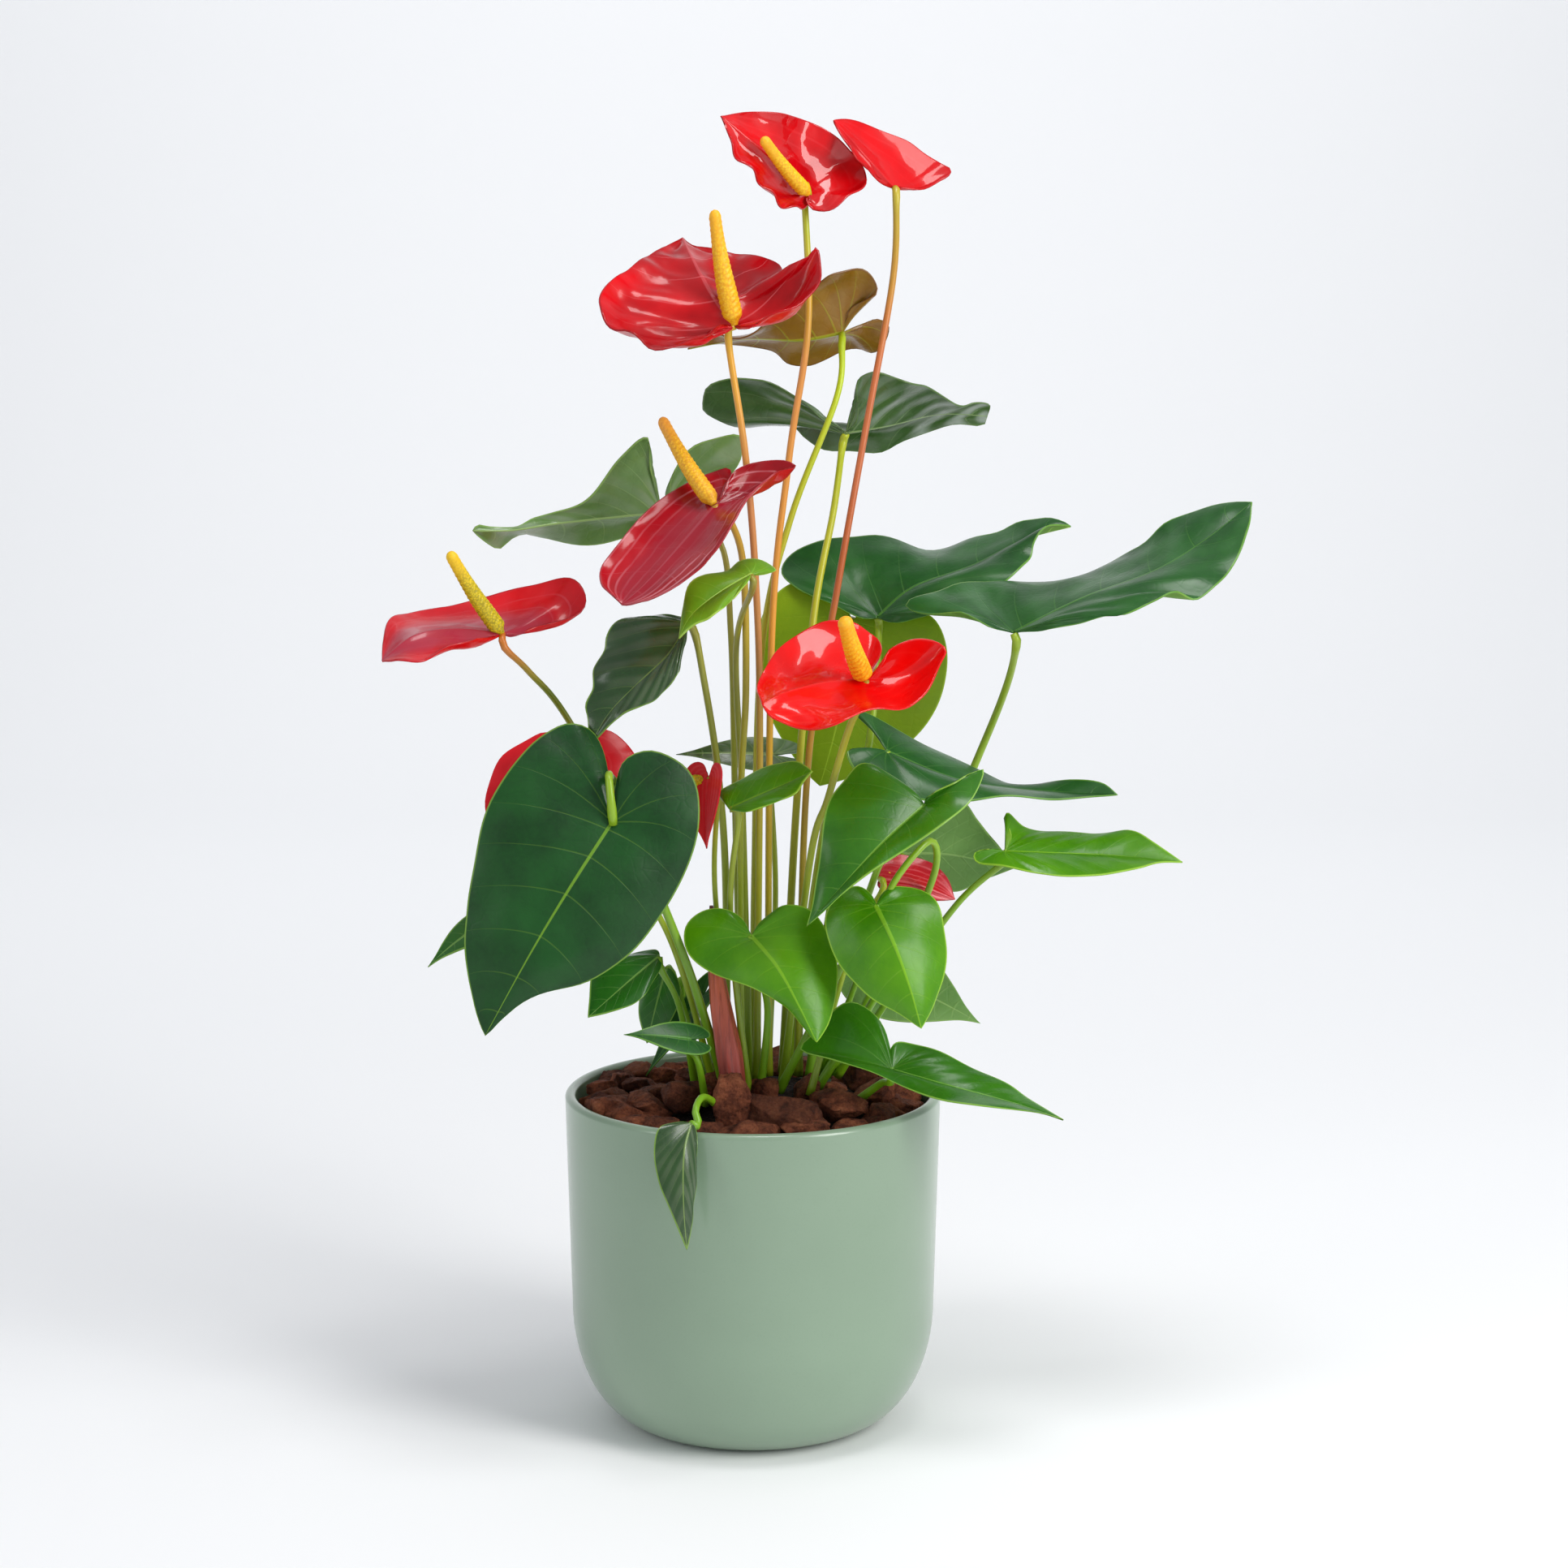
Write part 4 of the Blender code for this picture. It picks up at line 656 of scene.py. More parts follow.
def anchored(spec, blade):
    """an outline moved, turned and scaled so that it runs from the CAD blade's attachment to its tip"""
    if spec is None:
        return None
    a0, t0 = Vector(spec['mid'][0]), Vector(spec['mid'][-1])
    a1, t1 = blade.a, blade.point(1.0, 0.0)
    turn = (t0 - a0).rotation_difference(t1 - a1)
    k = (t1 - a1).length / (t0 - a0).length
    if turn.angle > 0.5:        # a blade rolled over on itself is only moved to its attachment
        turn, k = Quaternion(), 1.0
    fit = lambda pts: [a1 + turn @ (Vector(p) - a0) * k for p in pts]
    return dict(mid=fit(spec['mid']), left=fit(spec['left']), right=fit(spec['right']), bulge=spec['bulge'])


FAN = 0.42           # part of the margin whose veins start at the attachment


def rows(n):
    """steps across a half, closer at the midrib and at the margin"""
    r = [0.0, 0.02, 0.05]
    m = n - 6
    r += [0.05 + 0.90 * (i + 1) / (m + 1) for i in range(m)]
    return r + [0.965, 0.985, 1.0]


def sheet(name, row, slot, mats, kind, across=16, along=60, pucker=0.0, folds=0, foldn=1.7, wave=0.0, waves=3.0, ribw=1.3, thick=0.8, seed=0, shift=(0, 0, 0), ripple=0.0):
    """the visible blade of one leaf or spathe"""
    blade = Blade(SPATHE_OUTLINE if kind == 'spathe' else LEAF_OUTLINE, *row[1:10])
    spec = anchored(OUTLINES.get(name), blade)
    small = blade.length < 60
    if small:
        across, along = 12, 40
    steps = rows(across)
    verts, faces = [], []
    gap, rib, edge, spans = [], [], [], []
    sides = []
    count = VEINS if kind == 'leaf' else 9
    for side in (0, 1):
        sign = 1 if side == 0 else -1
        grid = []
        if spec:
            mid = even([Vector(p) for p in spec['mid']], 81)
            edge_pts = even([Vector(spec['mid'][0])] + [Vector(p) for p in spec['left' if side == 0 else 'right']] + [Vector(spec['mid'][-1])], along + 1)
            belly = spec['bulge'][side]
        else:
            half = chain([Vector((p[0], p[1], 0)) for p in blade.outline] + [Vector((0.0, 0.0, 0.0))], 90)
            half.reverse()
            half = even(half, along + 1)
        # mean normal of this half, on the upper side
        if spec:
            nrm = Vector((0, 0, 0))
            for i in range(along):
                for q in (mid[int(80 * i / along)],):
                    nrm += (edge_pts[i + 1] - q).cross(edge_pts[i] - q) * (sign)
            nrm.normalize()
        for i in range(along + 1):
            s = i / along
            t = smoothed(s, FAN, 1.0) * 0.5 + 0.5 * max(0.0, (s - FAN) / (1 - FAN))
            line = []
            if spec:
                root = mid[min(80, int(round(80 * t)))] if t >= 1 else mid[int(80 * t)].lerp(mid[int(80 * t) + 1], 80 * t - int(80 * t))
                tipp = edge_pts[i]
                span = (tipp - root).length
                for r in steps:
                    p = root.lerp(tipp, r)
                    p = p + nrm * (belly * span * 4 * r * (1 - r))
                    line.append(p)
            else:
                u1, v1 = half[i].x, max(half[i].y, 0.0)
                root = blade.point(t, 0.0)
                span = (blade.point(u1, sign * v1) - root).length
                for r in steps:
                    line.append(blade.point(t + (u1 - t) * r, sign * v1 * r) if r > 0 else root)
            grid.append((s, t, span, line))
        # local normals, then relief: veins, folds between them, a wavy margin
        out = []
        for i, (s, t, span, line) in enumerate(grid):
            a, b = grid[max(i - 1, 0)][3], grid[min(i + 1, along)][3]
            new = []
            for j, r in enumerate(steps):
                p = line[j]
                across_dir = line[min(j + 1, len(steps) - 1)] - line[max(j - 1, 0)]
                along_dir = b[j] - a[j]
                n = along_dir.cross(across_dir) * sign
                if n.length < 1e-7:
                    n = Vector((0, 0, 0))
                else:
                    n.normalize()
                d = 0.0
                ph = s * count - 0.55 * r ** 1.6
                if pucker and kind == 'leaf':
                    d += pucker * math.cos(2 * math.pi * ph) * math.sin(math.pi * min(1.0, r * 1.02)) ** 0.8 * smoothed(span, 4.0, 20.0)
                if pucker and kind == 'spathe' and name.startswith('flower3'):
                    d += pucker * math.cos(2 * math.pi * (ph + 0.8 * noise.noise(p * 0.03))) * math.sin(math.pi * min(1.0, r)) ** 0.7 * smoothed(span, 4.0, 20.0)
                elif pucker and kind == 'spathe':
                    w = noise.noise(p * 0.045 + Vector((seed, 2.0, 0.0)))
                    d -= pucker * abs(math.cos(math.pi * (5 * r + 1.6 * w))) ** 0.6 * smoothed(r, 0.04, 0.2) * smoothed(1 - r, 0.0, 0.15) * smoothed(span, 5.0, 22.0)
                    d += pucker * 0.6 * noise.noise(p * 0.14 + Vector((seed, 0.0, 0.0))) * smoothed(r, 0.05, 0.3)
                if folds:
                    d += folds * math.sin(2 * math.pi * (foldn * s + 0.6 * r) + seed) * r * (1 - 0.4 * r) * smoothed(span, 6.0, 25.0)
                if wave:
                    d += wave * math.sin(2 * math.pi * waves * s + seed * 1.7 + sign) * r ** 3 * smoothed(span, 5.0, 20.0) * smoothed(1 - s, 0.0, 0.12)
                if ripple:
                    d += ripple * noise.noise(p * 0.05 + Vector((seed * 3.1, 0, 0))) * smoothed(r, 0.05, 0.5)
                new.append(p + n * d + Vector(shift))
            out.append(new)
        sides.append((grid, out))
    # vertices: the midrib is shared by both halves
    cols = len(steps)
    index = {}

    def vert(key, p, g, rb, ed, sp):
        if key in index:
            return index[key]
        index[key] = len(verts)
        verts.append(p)
        gap.append(g)
        rib.append(rb)
        edge.append(ed)
        spans.append(sp)
        return index[key]

    ids = []
    for side in (0, 1):
        grid, out = sides[side]
        table = []
        for i, (s, t, span, line) in enumerate(grid):
            around = grid[min(i + 1, along)], grid[max(i - 1, 0)]
            rowi = []
            for j, r in enumerate(steps):
                q = around[0][3][j] - around[1][3][j]
                g = q.length / max(1e-6, (around[0][0] - around[1][0])) / count
                if j == 0:
                    key = ('m', 0 if t <= 0 else i)
                elif i == 0:
                    key = ('m', 0)      # the margin starts at the attachment
                elif i == along:
                    key = ('m', along)
                else:
                    key = (side, i, j)
                rowi.append(vert(key, out[i][j], g, r * span, (1 - r) * span if i not in (0, along) else 0.0, span))
            table.append(rowi)
        ids.append(table)
    loops_uv = []
    for side in (0, 1):
        table = ids[side]
        for i in range(along):
            for j in range(cols - 1):
                quad = [table[i][j], table[i + 1][j], table[i + 1][j + 1], table[i][j + 1]]
                uvq = [(i / along, steps[j]), ((i + 1) / along, steps[j]), ((i + 1) / along, steps[j + 1]), (i / along, steps[j + 1])]
                if side == 1:
                    quad.reverse()
                    uvq.reverse()
                kept, keptuv = [], []
                for a, w in zip(quad, uvq):
                    if a not in kept:
                        kept.append(a)
                        keptuv.append(w)
                if len(kept) >= 3:
                    faces.append(kept)
                    loops_uv.extend(keptuv)
    ob = new_mesh(name, verts, faces, [G[m] for m in mats])
    me = ob.data
    layer = me.uv_layers.new(name='UVMap')
    for k, w in enumerate(loops_uv):
        layer.data[k].uv = w
    length = blade.length
    for key, vals in (('gap', gap), ('rib', rib), ('edge', edge)):
        at = me.attributes.new(key, 'FLOAT', 'POINT')
        at.data.foreach_set('value', vals)
    # midrib narrows towards the tip
    at = me.attributes.new('span', 'FLOAT', 'POINT')
    at.data.foreach_set('value', spans)
    at = me.attributes.new('ribw', 'FLOAT', 'POINT')
    tip = Vector(spec['mid'][-1]) if spec else blade.point(1.0, 0.0)
    root = Vector(spec['mid'][0]) if spec else blade.a
    reach = max(1.0, (tip - root).length)
    at.data.foreach_set('value', [0.25 + (ribw - 0.25) * smoothed((p - tip).length / reach, 0.0, 1.0) for p in verts])
    sol = ob.modifiers.new('thickness', 'SOLIDIFY')
    sol.thickness = thick * MM
    sol.offset = 0.0
    sol.material_offset = 1
    sol.material_offset_rim = 0
    place(ob, slot)
    return ob, blade, root


def tube(name, points, radii, mat, sides=14, per=10, knee=0.0, ribs=0, flare=0.0, twist=0.0):
    """a closed round stem through the points; knee swells its end, ribs groove it"""
    pts = [Vector(p) for p in points]
    total = sum((b - a).length for a, b in zip(pts, pts[1:]))
    n = max(12, int(total / 4.0))
    line = even(pts, n)
    verts, faces = [], []
    ref = Vector((0.31, 0.93, 0.2)).normalized()
    for i, p in enumerate(line):
        t = (line[min(i + 1, n - 1)] - line[max(i - 1, 0)]).normalized()
        a = t.cross(ref).normalized()
        b = t.cross(a)
        ref = -b if i == 0 else (ref - t * ref.dot(t)).normalized() * 0.0 + (-b)
        f = i / (n - 1)
        if len(radii) == 2:
            r = radii[0] + (radii[1] - radii[0]) * f
        else:
            g = f * (len(radii) - 1)
            q = min(int(g), len(radii) - 2)
            r = radii[q] + (radii[q + 1] - radii[q]) * (g - q)
        dist = (1 - f) * total
        if knee:
            r *= 1 + knee * math.exp(-((dist - 6.0) / 6.0) ** 2)
        if flare:
            r *= 1 + flare * math.exp(-(f * total / 14.0))
        for j in range(sides):
            th = 2 * math.pi * j / sides
            rr = r * (1 + (0.10 * math.cos(ribs * th) if ribs else 0.0))
            verts.append(p + (a * math.cos(th) + b * math.sin(th)) * rr)
    for i in range(n - 1):
        for j in range(sides):
            a, b = i * sides + j, i * sides + (j + 1) % sides
            faces.append((a, b, b + sides, a + sides))
    verts.append(line[0])
    verts.append(line[-1])
    for j in range(sides):
        faces.append((len(verts) - 2, (j + 1) % sides, j))
        a, b = (n - 1) * sides + j, (n - 1) * sides + (j + 1) % sides
        faces.append((len(verts) - 1, a, b))
    return new_mesh(name, verts, faces, [mat])


def spadix(name, base, top, fat, mat, grain):
    """a club covered with rows of tiny flowers"""
    base, top = Vector(base), Vector(top)
    axis = (top - base)
    ln = axis.length
    axis.normalize()
    a = axis.cross(Vector((0.2, 0.9, 0.1))).normalized()
    b = axis.cross(a)
    n, m = (90, 40) if ln > 20 else (40, 24)
    verts, along, faces = [], [], []
    for i in range(n + 1):
        f = i / n
        if f < 0.10:
            r = 1.7 + (fat[0] - 1.7) * smoothed(f, 0.0, 0.10)
        else:
            r = fat[0] + (fat[1] - fat[0]) * smoothed(f, 0.15, 0.95)
        r *= math.sqrt(max(0.0, 1 - (max(0.0, f - 0.93) / 0.07) ** 2)) if f > 0.93 else 1.0
        bow = 0.02 * ln * math.sin(math.pi * f)
        for j in range(m):
            th = 2 * math.pi * j / m
            turn = th + f * ln / 9.0
            bump = math.sin(turn * 9.0) * math.sin(f * ln * math.pi / 1.15 + math.floor(turn * 9.0 / math.pi) * 1.57)
            depth = grain * (0.55 + 0.45 * smoothed(1 - f, 0.2, 0.8)) * smoothed(f, 0.04, 0.12) * smoothed(1 - f, 0.0, 0.08)
            rr = max(0.02, r + bump * depth)
            verts.append(base + axis * (f * ln) + a * bow + (a * math.cos(th) + b * math.sin(th)) * rr)
            along.append(f)
    for i in range(n):
        for j in range(m):
            p, q = i * m + j, i * m + (j + 1) % m
            faces.append((p, q, q + m, p + m))
    verts += [base, base + axis * ln]
    along += [0.0, 1.0]
    for j in range(m):
        faces.append((len(verts) - 2, (j + 1) % m, j))
        p, q = n * m + j, n * m + (j + 1) % m
        faces.append((len(verts) - 1, p, q))
    ob = new_mesh(name, verts, faces, [mat])
    at = ob.data.attributes.new('along', 'FLOAT', 'POINT')
    at.data.foreach_set('value', along)
    return ob


# ------------------------------------------------------------------ pot, mix, bark
POT_H, POT_R, POT_R_LOW, CORNER_H, BASE_R, WALL, FLOOR_T = 178.0, 100.0, 97.0, 63.0, 58.0, 6.0, 9.0


def turned(name, profile, steps, mat):
    verts, faces, ring = [], [], []
    for r, z in profile:
        if r < 1e-6:
            ring.append([len(verts)] * steps)
            verts.append(Vector((0, 0, z)))
        else:
            ring.append(list(range(len(verts), len(verts) + steps)))
            verts += [Vector((r * math.cos(2 * math.pi * k / steps), r * math.sin(2 * math.pi * k / steps), z)) for k in range(steps)]
    for a, b in zip(ring, ring[1:]):
        for k in range(steps):
            q = [a[k], a[(k + 1) % steps], b[(k + 1) % steps], b[k]]
            f = []
            for v in q:
                if v not in f:
                    f.append(v)
            if len(f) > 2:
                faces.append(f)
    return new_mesh(name, verts, faces, [mat])


def make_pot():
    wall = [(0.0, 1.2), (BASE_R - 8, 1.2), (BASE_R - 6, 0.2), (BASE_R - 4, 0.0), (BASE_R, 0.0)]
    for i in range(1, 29):
        a = math.radians(90 * i / 28)
        wall.append((BASE_R + (POT_R_LOW - BASE_R) * math.sin(a), CORNER_H * (1 - math.cos(a))))
    for i in range(1, 12):
        z = CORNER_H + (POT_H - 3 - CORNER_H) * i / 11
        wall.append((POT_R_LOW + (POT_R - POT_R_LOW) * (z - CORNER_H) / (POT_H - CORNER_H), z))
    lip = WALL / 2
    for k in range(1, 15):
        a = math.radians(180 * k / 15)
        wall.append((POT_R - lip + lip * math.cos(a), POT_H - lip + lip * math.sin(a)))
    wall.append((POT_R - WALL, POT_H - lip))
    for k in range(1, 7):
        z = POT_H - lip - (POT_H - lip - 72) * k / 6
        wall.append((POT_R - WALL - 2.4 * k / 6, z))
    for i in range(14, 0, -1):
        a = math.radians(90 * i / 14)
        wall.append((BASE_R - 6 + (POT_R_LOW - BASE_R) * math.sin(a) * 0.99, FLOOR_T + (CORNER_H - 2) * (1 - math.cos(a))))
    wall += [(BASE_R - 6, FLOOR_T), (0.0, FLOOR_T)]
    place(turned('pot_glazed', wall, 160, G['glaze']), 'pot_glaze', 'pot')


def mound(r):
    return 160.0 + 20.0 * (1 - min(1.0, r / (POT_R - WALL)) ** 2.5)


def make_mix():
    verts, faces = [], []
    rings, steps = 34, 90
    for i in range(rings + 1):
        r = 93.2 * i / rings
        for k in range(steps):
            th = 2 * math.pi * k / steps
            p = Vector((r * math.cos(th), r * math.sin(th), 0))
            z = mound(r) - 3.0 + 2.6 * noise.noise(p * 0.09) + 1.2 * noise.noise(p * 0.31)
            verts.append(Vector((p.x, p.y, z)))
    for i in range(rings):
        for k in range(steps):
            a, b = i * steps + k, i * steps + (k + 1) % steps
            faces.append((a, a + steps, b + steps, b))
    base = len(verts)
    for k in range(steps):
        th = 2 * math.pi * k / steps
        verts.append(Vector((93.2 * math.cos(th), 93.2 * math.sin(th), 120.0)))
    o = rings * steps
    for k in range(steps):
        b = (k + 1) % steps
        faces.append((o + k, base + k, base + b, o + b))
    verts.append(Vector((0, 0, 120.0)))
    for k in range(steps):
        faces.append((base + k, len(verts) - 1, base + (k + 1) % steps))
    ob = new_mesh('potting_mix_crumbs', verts, faces, [G['mix']])
    place(ob, 'potting_mix', 'potting_mix')


def chip_shape(rng, at, size, turn, tilt, lumps=0.16):
    """one rough piece of bark: a broken block with fibrous, pitted faces"""
    import bmesh
    bm = bmesh.new()
    bmesh.ops.create_cube(bm, size=2.0)
    bmesh.ops.subdivide_edges(bm, edges=bm.edges[:], cuts=9, use_grid_fill=True)
    off = Vector((rng.uniform(-50, 50), rng.uniform(-50, 50), rng.uniform(-50, 50)))
    ca, sa = math.cos(turn), math.sin(turn)
    tx, ty = tilt
    out = []
    skew = [rng.uniform(-0.28, 0.28) for _ in range(4)]
    cuts = []
    for _ in range(7):
        nk = Vector((rng.uniform(-1, 1), rng.uniform(-1, 1), rng.uniform(-0.5, 1))).normalized()
        cuts.append((nk, rng.uniform(0.62, 0.92)))
    for v in bm.verts:
        c = v.co.copy()
        # between a block and an ellipsoid, with skewed, chipped corners
        ball = c.normalized()
        c = c.lerp(ball * 1.3, 0.7)
        for nk, dk in cuts:
            over = c.dot(nk) - dk
            if over > 0:
                c = c - nk * (over * 0.92)
        c.x *= 1 + skew[0] * c.y
        c.y *= 1 + skew[1] * c.x
        c.z *= 1 + skew[2] * c.x
        c.x += skew[3] * c.z
        d = 1 + lumps * 0.9 * noise.noise(c * 0.9 + off) + lumps * 0.5 * noise.noise(c * 2.3 + off) + lumps * 0.5 * noise.noise(Vector((c.x * 3.0, c.y * 9.0, c.z * 9.0)) + off)
        c *= d
        p = Vector((c.x * size[0] / 2, c.y * size[1] / 2, c.z * size[2] / 2))
        p = Vector((p.x, p.y * math.cos(tx) - p.z * math.sin(tx), p.y * math.sin(tx) + p.z * math.cos(tx)))
        p = Vector((p.x * math.cos(ty) + p.z * math.sin(ty), p.y, -p.x * math.sin(ty) + p.z * math.cos(ty)))
        p = Vector((p.x * ca - p.y * sa, p.x * sa + p.y * ca, p.z))
        out.append(p + Vector(at))
    faces = [[v.index for v in f.verts] for f in bm.faces]
    bm.free()
    return out, faces


def make_bark():
    rng = random.Random(7)
    groups = [('bark_mulch_chips', ('bark_mulch',), []), ('bark_chip_left_piece', ('bark_chip_left',), []),
              ('bark_chip_front_piece', ('bark_chip_front',), []), ('bark_chip_right_piece', ('bark_chip_right',), [])]
    # centre x, y, height above the mound, size, turn in degrees
    named = [
        ((-74, -30, 7), (30, 20, 15), 30), ((22, -66, 6), (40, 24, 22), -14), ((74, 16, 6), (24, 20, 14), 70)]
    front = [
        ((-78, -10, 6), (28, 18, 12), 10), ((-82, -44, 3), (34, 16, 9), -28), ((-62, -62, 4), (22, 15, 11), 24),
        ((-56, -38, 6), (26, 18, 13), -40), ((-34, -38, 8), (26, 20, 16), 35), ((-9, -56, 9), (20, 16, 26), 12),
        ((-12, -78, 3), (26, 14, 13), 4), ((8, -84, 1), (12, 9, 14), 40), ((54, -74, 3), (20, 14, 10), 26),
        ((72, -58, 3), (24, 14, 11), 44), ((44, -46, 7), (30, 20, 14), -22), ((78, -34, 3), (22, 14, 10), 62),
        ((62, -18, 6), (26, 20, 12), 10), ((86, -10, 2), (16, 12, 8), 80), ((-88, -20, 2), (16, 12, 8), 70),
        ((38, -84, 0), (18, 10, 8), -10), ((-38, -82, 0), (20, 12, 8), -16), ((-20, -18, 6), (20, 14, 10), 60),
        ((6, -32, 6), (18, 14, 12), -50), ((28, -22, 5), (18, 14, 10), 20)]
    pieces = []
    for at, size, turn in front:
        pieces.append((0, at, size, turn))
    for k, (at, size, turn) in enumerate(named):
        pieces.append((k + 1, at, size, turn))
    # the rest of the ring, at the sides and behind, and a lower layer
    for k in range(44):
        th = 2 * math.pi * (k * 0.381966 % 1.0)
        r = 36 + 48 * math.sqrt((k % 22 + 0.5) / 22)
        x, y = r * math.cos(th), r * math.sin(th)
        if y < -25 and k % 3:
            continue
        s = rng.uniform(13, 26)
        pieces.append((0, (x, y, rng.uniform(-4, 1) if y < -25 else rng.uniform(0, 5)), (s, s * rng.uniform(0.55, 0.8), s * rng.uniform(0.35, 0.6)), rng.uniform(0, 180)))
    for k in range(19):
        th = math.radians(19 * k + 5)
        s = rng.uniform(19, 28)
        pieces.append((0, (80 * math.cos(th), 80 * math.sin(th), rng.uniform(4, 8)), (s, s * rng.uniform(0.55, 0.75), s * rng.uniform(0.4, 0.6)), math.degrees(th) + 90 + rng.uniform(-30, 30)))
    tones = {}
    for g, at, size, turn in pieces:
        r = math.hypot(at[0], at[1])
        reach = max(size[0], size[1]) * 0.42
        lim = 92.0 - reach
        k = min(1.0, lim / r) if r > lim else 1.0
        x, y = at[0] * k, at[1] * k
        z = mound(math.hypot(x, y)) + at[2] + 1.0
        pts, faces = chip_shape(rng, (x, y, z), size, math.radians(turn), (rng.uniform(-0.3, 0.3), rng.uniform(-0.25, 0.25)))
        safe = []
        for p in pts:
            rr = math.hypot(p.x, p.y)
            if rr > 93.0:
                p = Vector((p.x * 93.0 / rr, p.y * 93.0 / rr, p.z))
            safe.append(p)
        groups[g][2].append((safe, faces, rng.random()))
    for name, nodes, lst in groups:
        verts, faces, tone = [], [], []
        for pts, fs, t in lst:
            o = len(verts)
            verts += pts
            faces += [[v + o for v in f] for f in fs]
            tone += [t] * len(pts)
        ob = new_mesh(name, verts, faces, [G['bark']])
        at = ob.data.attributes.new('tone', 'FLOAT', 'POINT')
        at.data.foreach_set('value', tone)
        place(ob, 'bark', *nodes)


# ------------------------------------------------------------------ the plant
# name: (upper material, lower material, petiole material, options)
LOOK = {
    'leaf_front_left': ('dark', 'mid', 'pet_green', dict(wave=1.2, ribw=1.0, ripple=1.2)),
    'leaf_bronze_top': ('bronze', 'bronze', 'pet_lime', dict(wave=2.0, ripple=2.0, ribw=1.6)),
    'leaf_upper_mid': ('greyish', 'greyish', 'pet_lime', dict(wave=1.5, pucker=0.35, ripple=2.0, ribw=1.5)),
    'leaf_upper_left': ('silver', 'silver', 'pet_olive', dict(wave=1.5, pucker=0.25, ripple=2.0)),
    'leaf_mid_left_dark': ('dusky', 'greyish', 'pet_olive', dict(wave=1.5, pucker=0.35, ripple=1.5)),
    'leaf_mid_light': ('lime', 'bright', 'pet_olive', dict(wave=0.8)),
    'leaf_right_upper': ('deep', 'under', 'pet_green', dict(wave=1.4, ripple=2.0)),
    'leaf_right_long': ('deep', 'under', 'pet_green', dict(wave=1.6, pucker=0.2, ripple=2.0)),
    'leaf_back_light': ('yellow', 'yellow', 'pet_olive', dict(wave=1.0)),
    'leaf_right_folded': ('deep', 'silver', 'pet_green', dict(wave=0.8)),
    'leaf_centre_hang': ('fresh', 'bright', 'pet_green', dict(wave=1.0, ripple=1.0)),
    'leaf_front_bright': ('bright', 'lime', 'pet_green', dict(wave=0.8, ripple=1.0)),
    'leaf_front_small': ('bright', 'lime', 'pet_green', dict(wave=0.6, ripple=0.8)),
    'leaf_right_bright': ('bright', 'lime', 'pet_green', dict(wave=1.0, pucker=0.2)),
    'leaf_pale_behind': ('pale', 'pale', 'pet_green', dict(wave=0.6)),
    'leaf_rim_right': ('fresh', 'pale', 'pet_green', dict(wave=0.8, pucker=0.15)),
    'leaf_low_pale': ('pale', 'pale', 'pet_green', dict()),
    'leaf_over_rim': ('dusky', 'under', 'pet_green', dict(wave=0.5)),
    'leaf_left_low_a': ('mid', 'pale', 'pet_green', dict(wave=0.5)),
    'leaf_left_low_b': ('mid', 'pale', 'pet_green', dict()),
    'leaf_left_low_c': ('lime', 'lime', 'pet_green', dict()),
    'leaf_blade_narrow': ('deep', 'pale', 'pet_green', dict()),
    'leaf_left_low_d': ('deep', 'under', 'pet_green', dict()),
    'leaf_left_tip': ('mid', 'pale', 'pet_green', dict()),
    'leaf_mid_folded': ('bright', 'mid', 'pet_olive', dict(wave=0.6)),
    'leaf_inner_small': ('greyish', 'silver', 'pet_olive', dict()),
}
BLOOM = {
    'flower1': ('lacquer', 'red', 'stem_lime', 'spadix', dict(pucker=0.6, folds=2.2, foldn=2.6, wave=2.4, waves=4.0, ripple=3.0)),
    'flower2': ('red', 'red', 'stem_salmon', 'spadix', dict(pucker=0.3, folds=0.8, wave=1.0, ripple=1.5)),
    'flower3': ('vein_red', 'red', 'stem_gold', 'spadix', dict(pucker=1.1, folds=2.2, wave=1.2, ripple=4.0)),
    'flower4': ('crimson', 'red', 'stem_olive', 'spadix_orange', dict(pucker=0.7, folds=0.9, ripple=1.5)),
    'flower5': ('maroon', 'red', 'stem_orange', 'spadix_green', dict(pucker=0.35, folds=0.8, wave=0.8, ripple=1.5)),
    'flower6': ('coral', 'coral', 'stem_olive', 'spadix', dict(pucker=0.3, ripple=2.0)),
    'flower7': ('vivid', 'vivid', 'stem_olive', 'spadix', dict(pucker=0.3, folds=2.6, foldn=3.3, wave=0.8, ripple=2.5)),
    'flower8': ('coral', 'coral', 'stem_olive', 'spadix_green', dict()),
    'flower9': ('outer', 'outer', 'stem_olive', 'spadix', dict(pucker=0.8)),
}


CLUB_SHIFT = {'flower1': (-11, 0, -3), 'flower2': (-8, 4, -6), 'flower8': (-7, 5, 0), 'flower9': (5, 12, -8)}
CLUB_START = {'flower2': (-2, 5, 3), 'flower8': (-3, 4, 0), 'flower9': (2, 4, -1)}
CLUB_SLIM = {'flower1': 0.82, 'flower8': 0.7, 'flower2': 0.85}


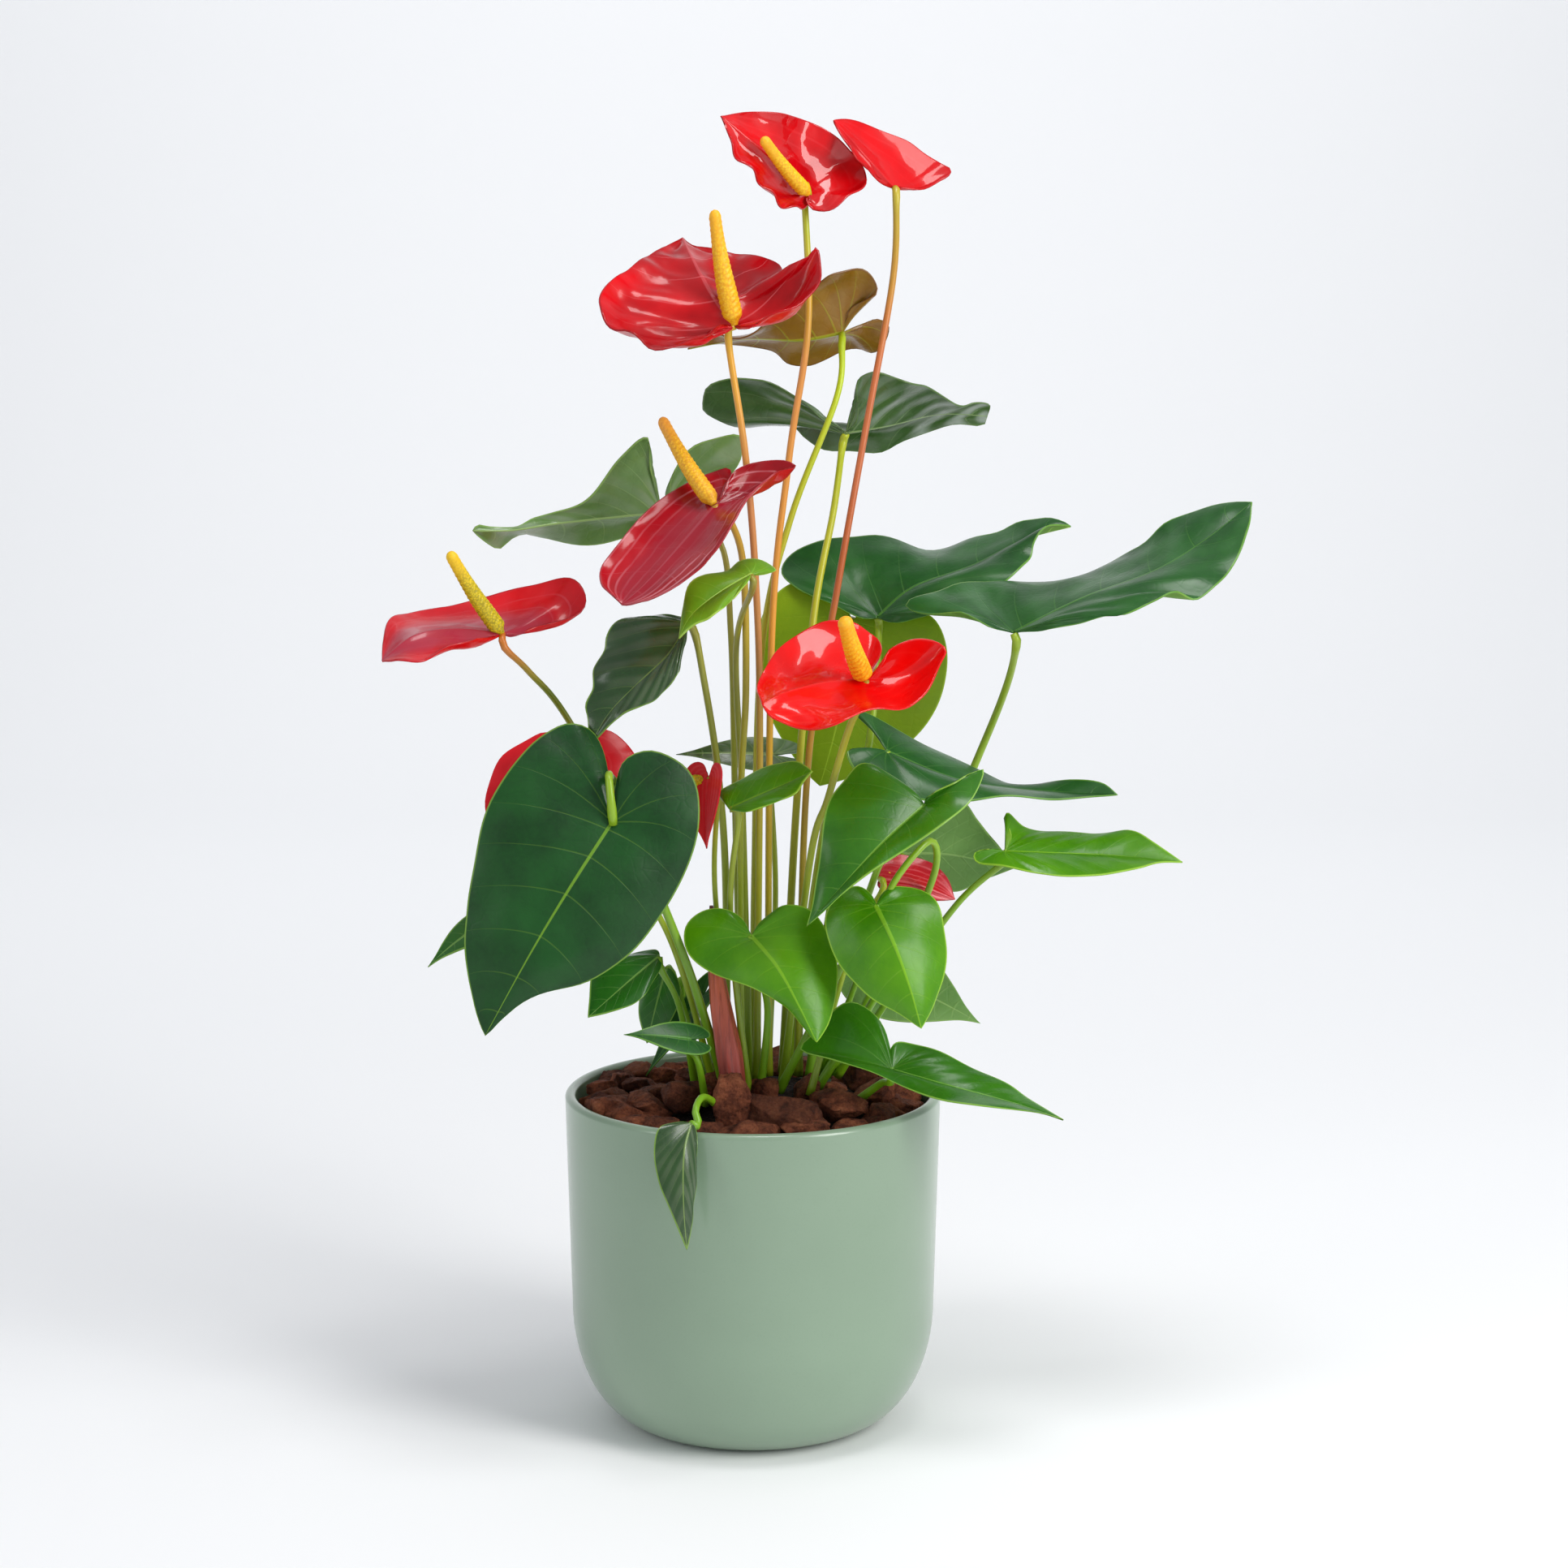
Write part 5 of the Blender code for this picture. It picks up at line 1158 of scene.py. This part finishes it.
def make_plant():
    for k, row in enumerate(LEAVES):
        name, route, radii = row[0], row[10], row[11]
        up, low, pet, opts = LOOK[name]
        slot = 'bronze_leaf' if name == 'leaf_bronze_top' else 'leaf'
        ob, blade, root = sheet(name, row, slot, (up, low), 'leaf', seed=k, **opts)
        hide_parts(name)
        move = root - blade.a
        short = blade.point(0.0, 0.0, -7.0) + move
        end = root - (blade.point(0.0, 0.0, 1.0) - blade.a) * 0.3
        way = list(route) + [short, end]
        if name == 'leaf_front_left':
            way = list(route) + [root + Vector((-1.0, 9.0, 20.0)), root + Vector((-1.6, 1.0, 24.0)), root + Vector((-0.4, -3.0, 12.0)), root + Vector((0.6, -1.0, -1.0))]
        st = tube(name + '_petiole', way, [radii[0], radii[1]], G[pet], knee=0.28, flare=0.35)
        place(st, slot, name)
    for k, row in enumerate(FLOWERS):
        name, route, radii, top, fat = row[0], row[10], row[11], row[12], row[13]
        up, low, stem, club, opts = BLOOM[name]
        ob, blade, root = sheet(name + '_spathe', (name,) + row[1:], 'spathe', (up, low), 'spathe', seed=k + 2, thick=0.9, ribw=1.1, **opts)
        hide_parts(name + '_spathe')
        move = root - blade.a
        short = blade.point(0.0, 0.0, -8.0) + move
        st = tube(name + '_stem', list(route) + [short, root], [radii[0]] + [radii[1]] * (len(route)) + [radii[1] * 0.95], G[stem], knee=0.22, flare=0.3)
        place(st, 'flower_stem', name + '_stem')
        top = Vector(top) + Vector(CLUB_SHIFT.get(name, (0, 0, 0)))
        axis = (top - root).normalized()
        start = root + axis * 0.6 + Vector(CLUB_START.get(name, (0, 0, 0)))
        slim = CLUB_SLIM.get(name, 0.94)
        sp = spadix(name + '_spadix', start, top, (fat[0] * slim, fat[1] * slim), G[club], 0.3)
        place(sp, 'spadix', name + '_spadix')
    pts = [p for p, r in SHEATH]
    ob = tube('cataphyll_sheath', pts, [r for p, r in SHEATH], G['sheath'], sides=30, ribs=7)
    place(ob, 'cataphyll', 'cataphyll')


# ------------------------------------------------------------------ studio
def plain(name, colour, rough=0.9):
    m = bpy.data.materials.new(name)
    m.use_nodes = True
    b = m.node_tree.nodes['Principled BSDF']
    b.inputs['Base Color'].default_value = colour
    b.inputs['Roughness'].default_value = rough
    b.inputs['Specular IOR Level'].default_value = 0.1
    return m


def light(name, at, target, size, power, colour=(1, 1, 1)):
    data = bpy.data.lights.new(name, 'AREA')
    data.shape = 'RECTANGLE'
    data.size, data.size_y = size
    data.energy = power
    data.color = colour
    ob = bpy.data.objects.new(name, data)
    bpy.context.scene.collection.objects.link(ob)
    ob.location = at
    ob.rotation_euler = (Vector(target) - Vector(at)).to_track_quat('-Z', 'Y').to_euler()
    return ob


def make_studio():
    # floor that curves up into a wall behind
    prof = [(-6.0, 0.0), (2.2, 0.0)]
    for i in range(1, 13):
        a = math.radians(90 * i / 12)
        prof.append((2.2 + 1.2 * math.sin(a), 1.2 * (1 - math.cos(a))))
    prof.append((3.4, 6.0))
    verts, faces = [], []
    for y, z in prof:
        verts += [Vector((-7000, y * 1000, z * 1000 - 0.2)), Vector((7000, y * 1000, z * 1000 - 0.2))]
    for i in range(len(prof) - 1):
        faces.append((2 * i, 2 * i + 1, 2 * i + 3, 2 * i + 2))
    ob = new_mesh('backdrop', verts, faces, [plain('backdrop', (0.93, 0.935, 0.945, 1.0))])
    world = bpy.data.worlds.new('studio')
    bpy.context.scene.world = world
    world.use_nodes = True
    bg = world.node_tree.nodes['Background']
    bg.inputs['Color'].default_value = (0.92, 0.95, 1.0, 1.0)
    bg.inputs['Strength'].default_value = 0.46
    light('key_right', (1.30, -1.05, 1.10), (0.0, 0.0, 0.3), (0.62, 1.3), 23, (1.0, 0.985, 0.96))
    light('top', (0.15, -0.35, 1.85), (0.0, 0.0, 0.3), (0.5, 0.5), 8.5)
    light('left_fill', (-1.5, -0.9, 0.9), (0.0, 0.0, 0.35), (0.4, 1.2), 5)
    light('back_wall', (0.0, 1.5, 2.2), (0.0, 3.2, 0.6), (3.6, 1.4), 27)

    view = bpy.context.scene.view_settings
    view.view_transform = 'Standard'
    view.look = 'None'
    view.exposure, view.gamma = 0.0, 1.0

    cam = bpy.data.cameras.new('camera')
    cam.lens = 70.0
    cam.sensor_width = 36.0
    cam.sensor_fit = 'HORIZONTAL'
    cam.clip_start, cam.clip_end = 0.05, 50.0
    ob = bpy.data.objects.new('camera', cam)
    bpy.context.scene.collection.objects.link(ob)
    ob.location = (0.0166, -1.590, 0.560)
    ob.rotation_euler = (math.radians(82.2), 0.0, 0.0)
    bpy.context.scene.camera = ob


make_materials()
make_pot()
make_mix()
make_bark()
make_plant()
make_studio()
bpy.context.view_layer.update()
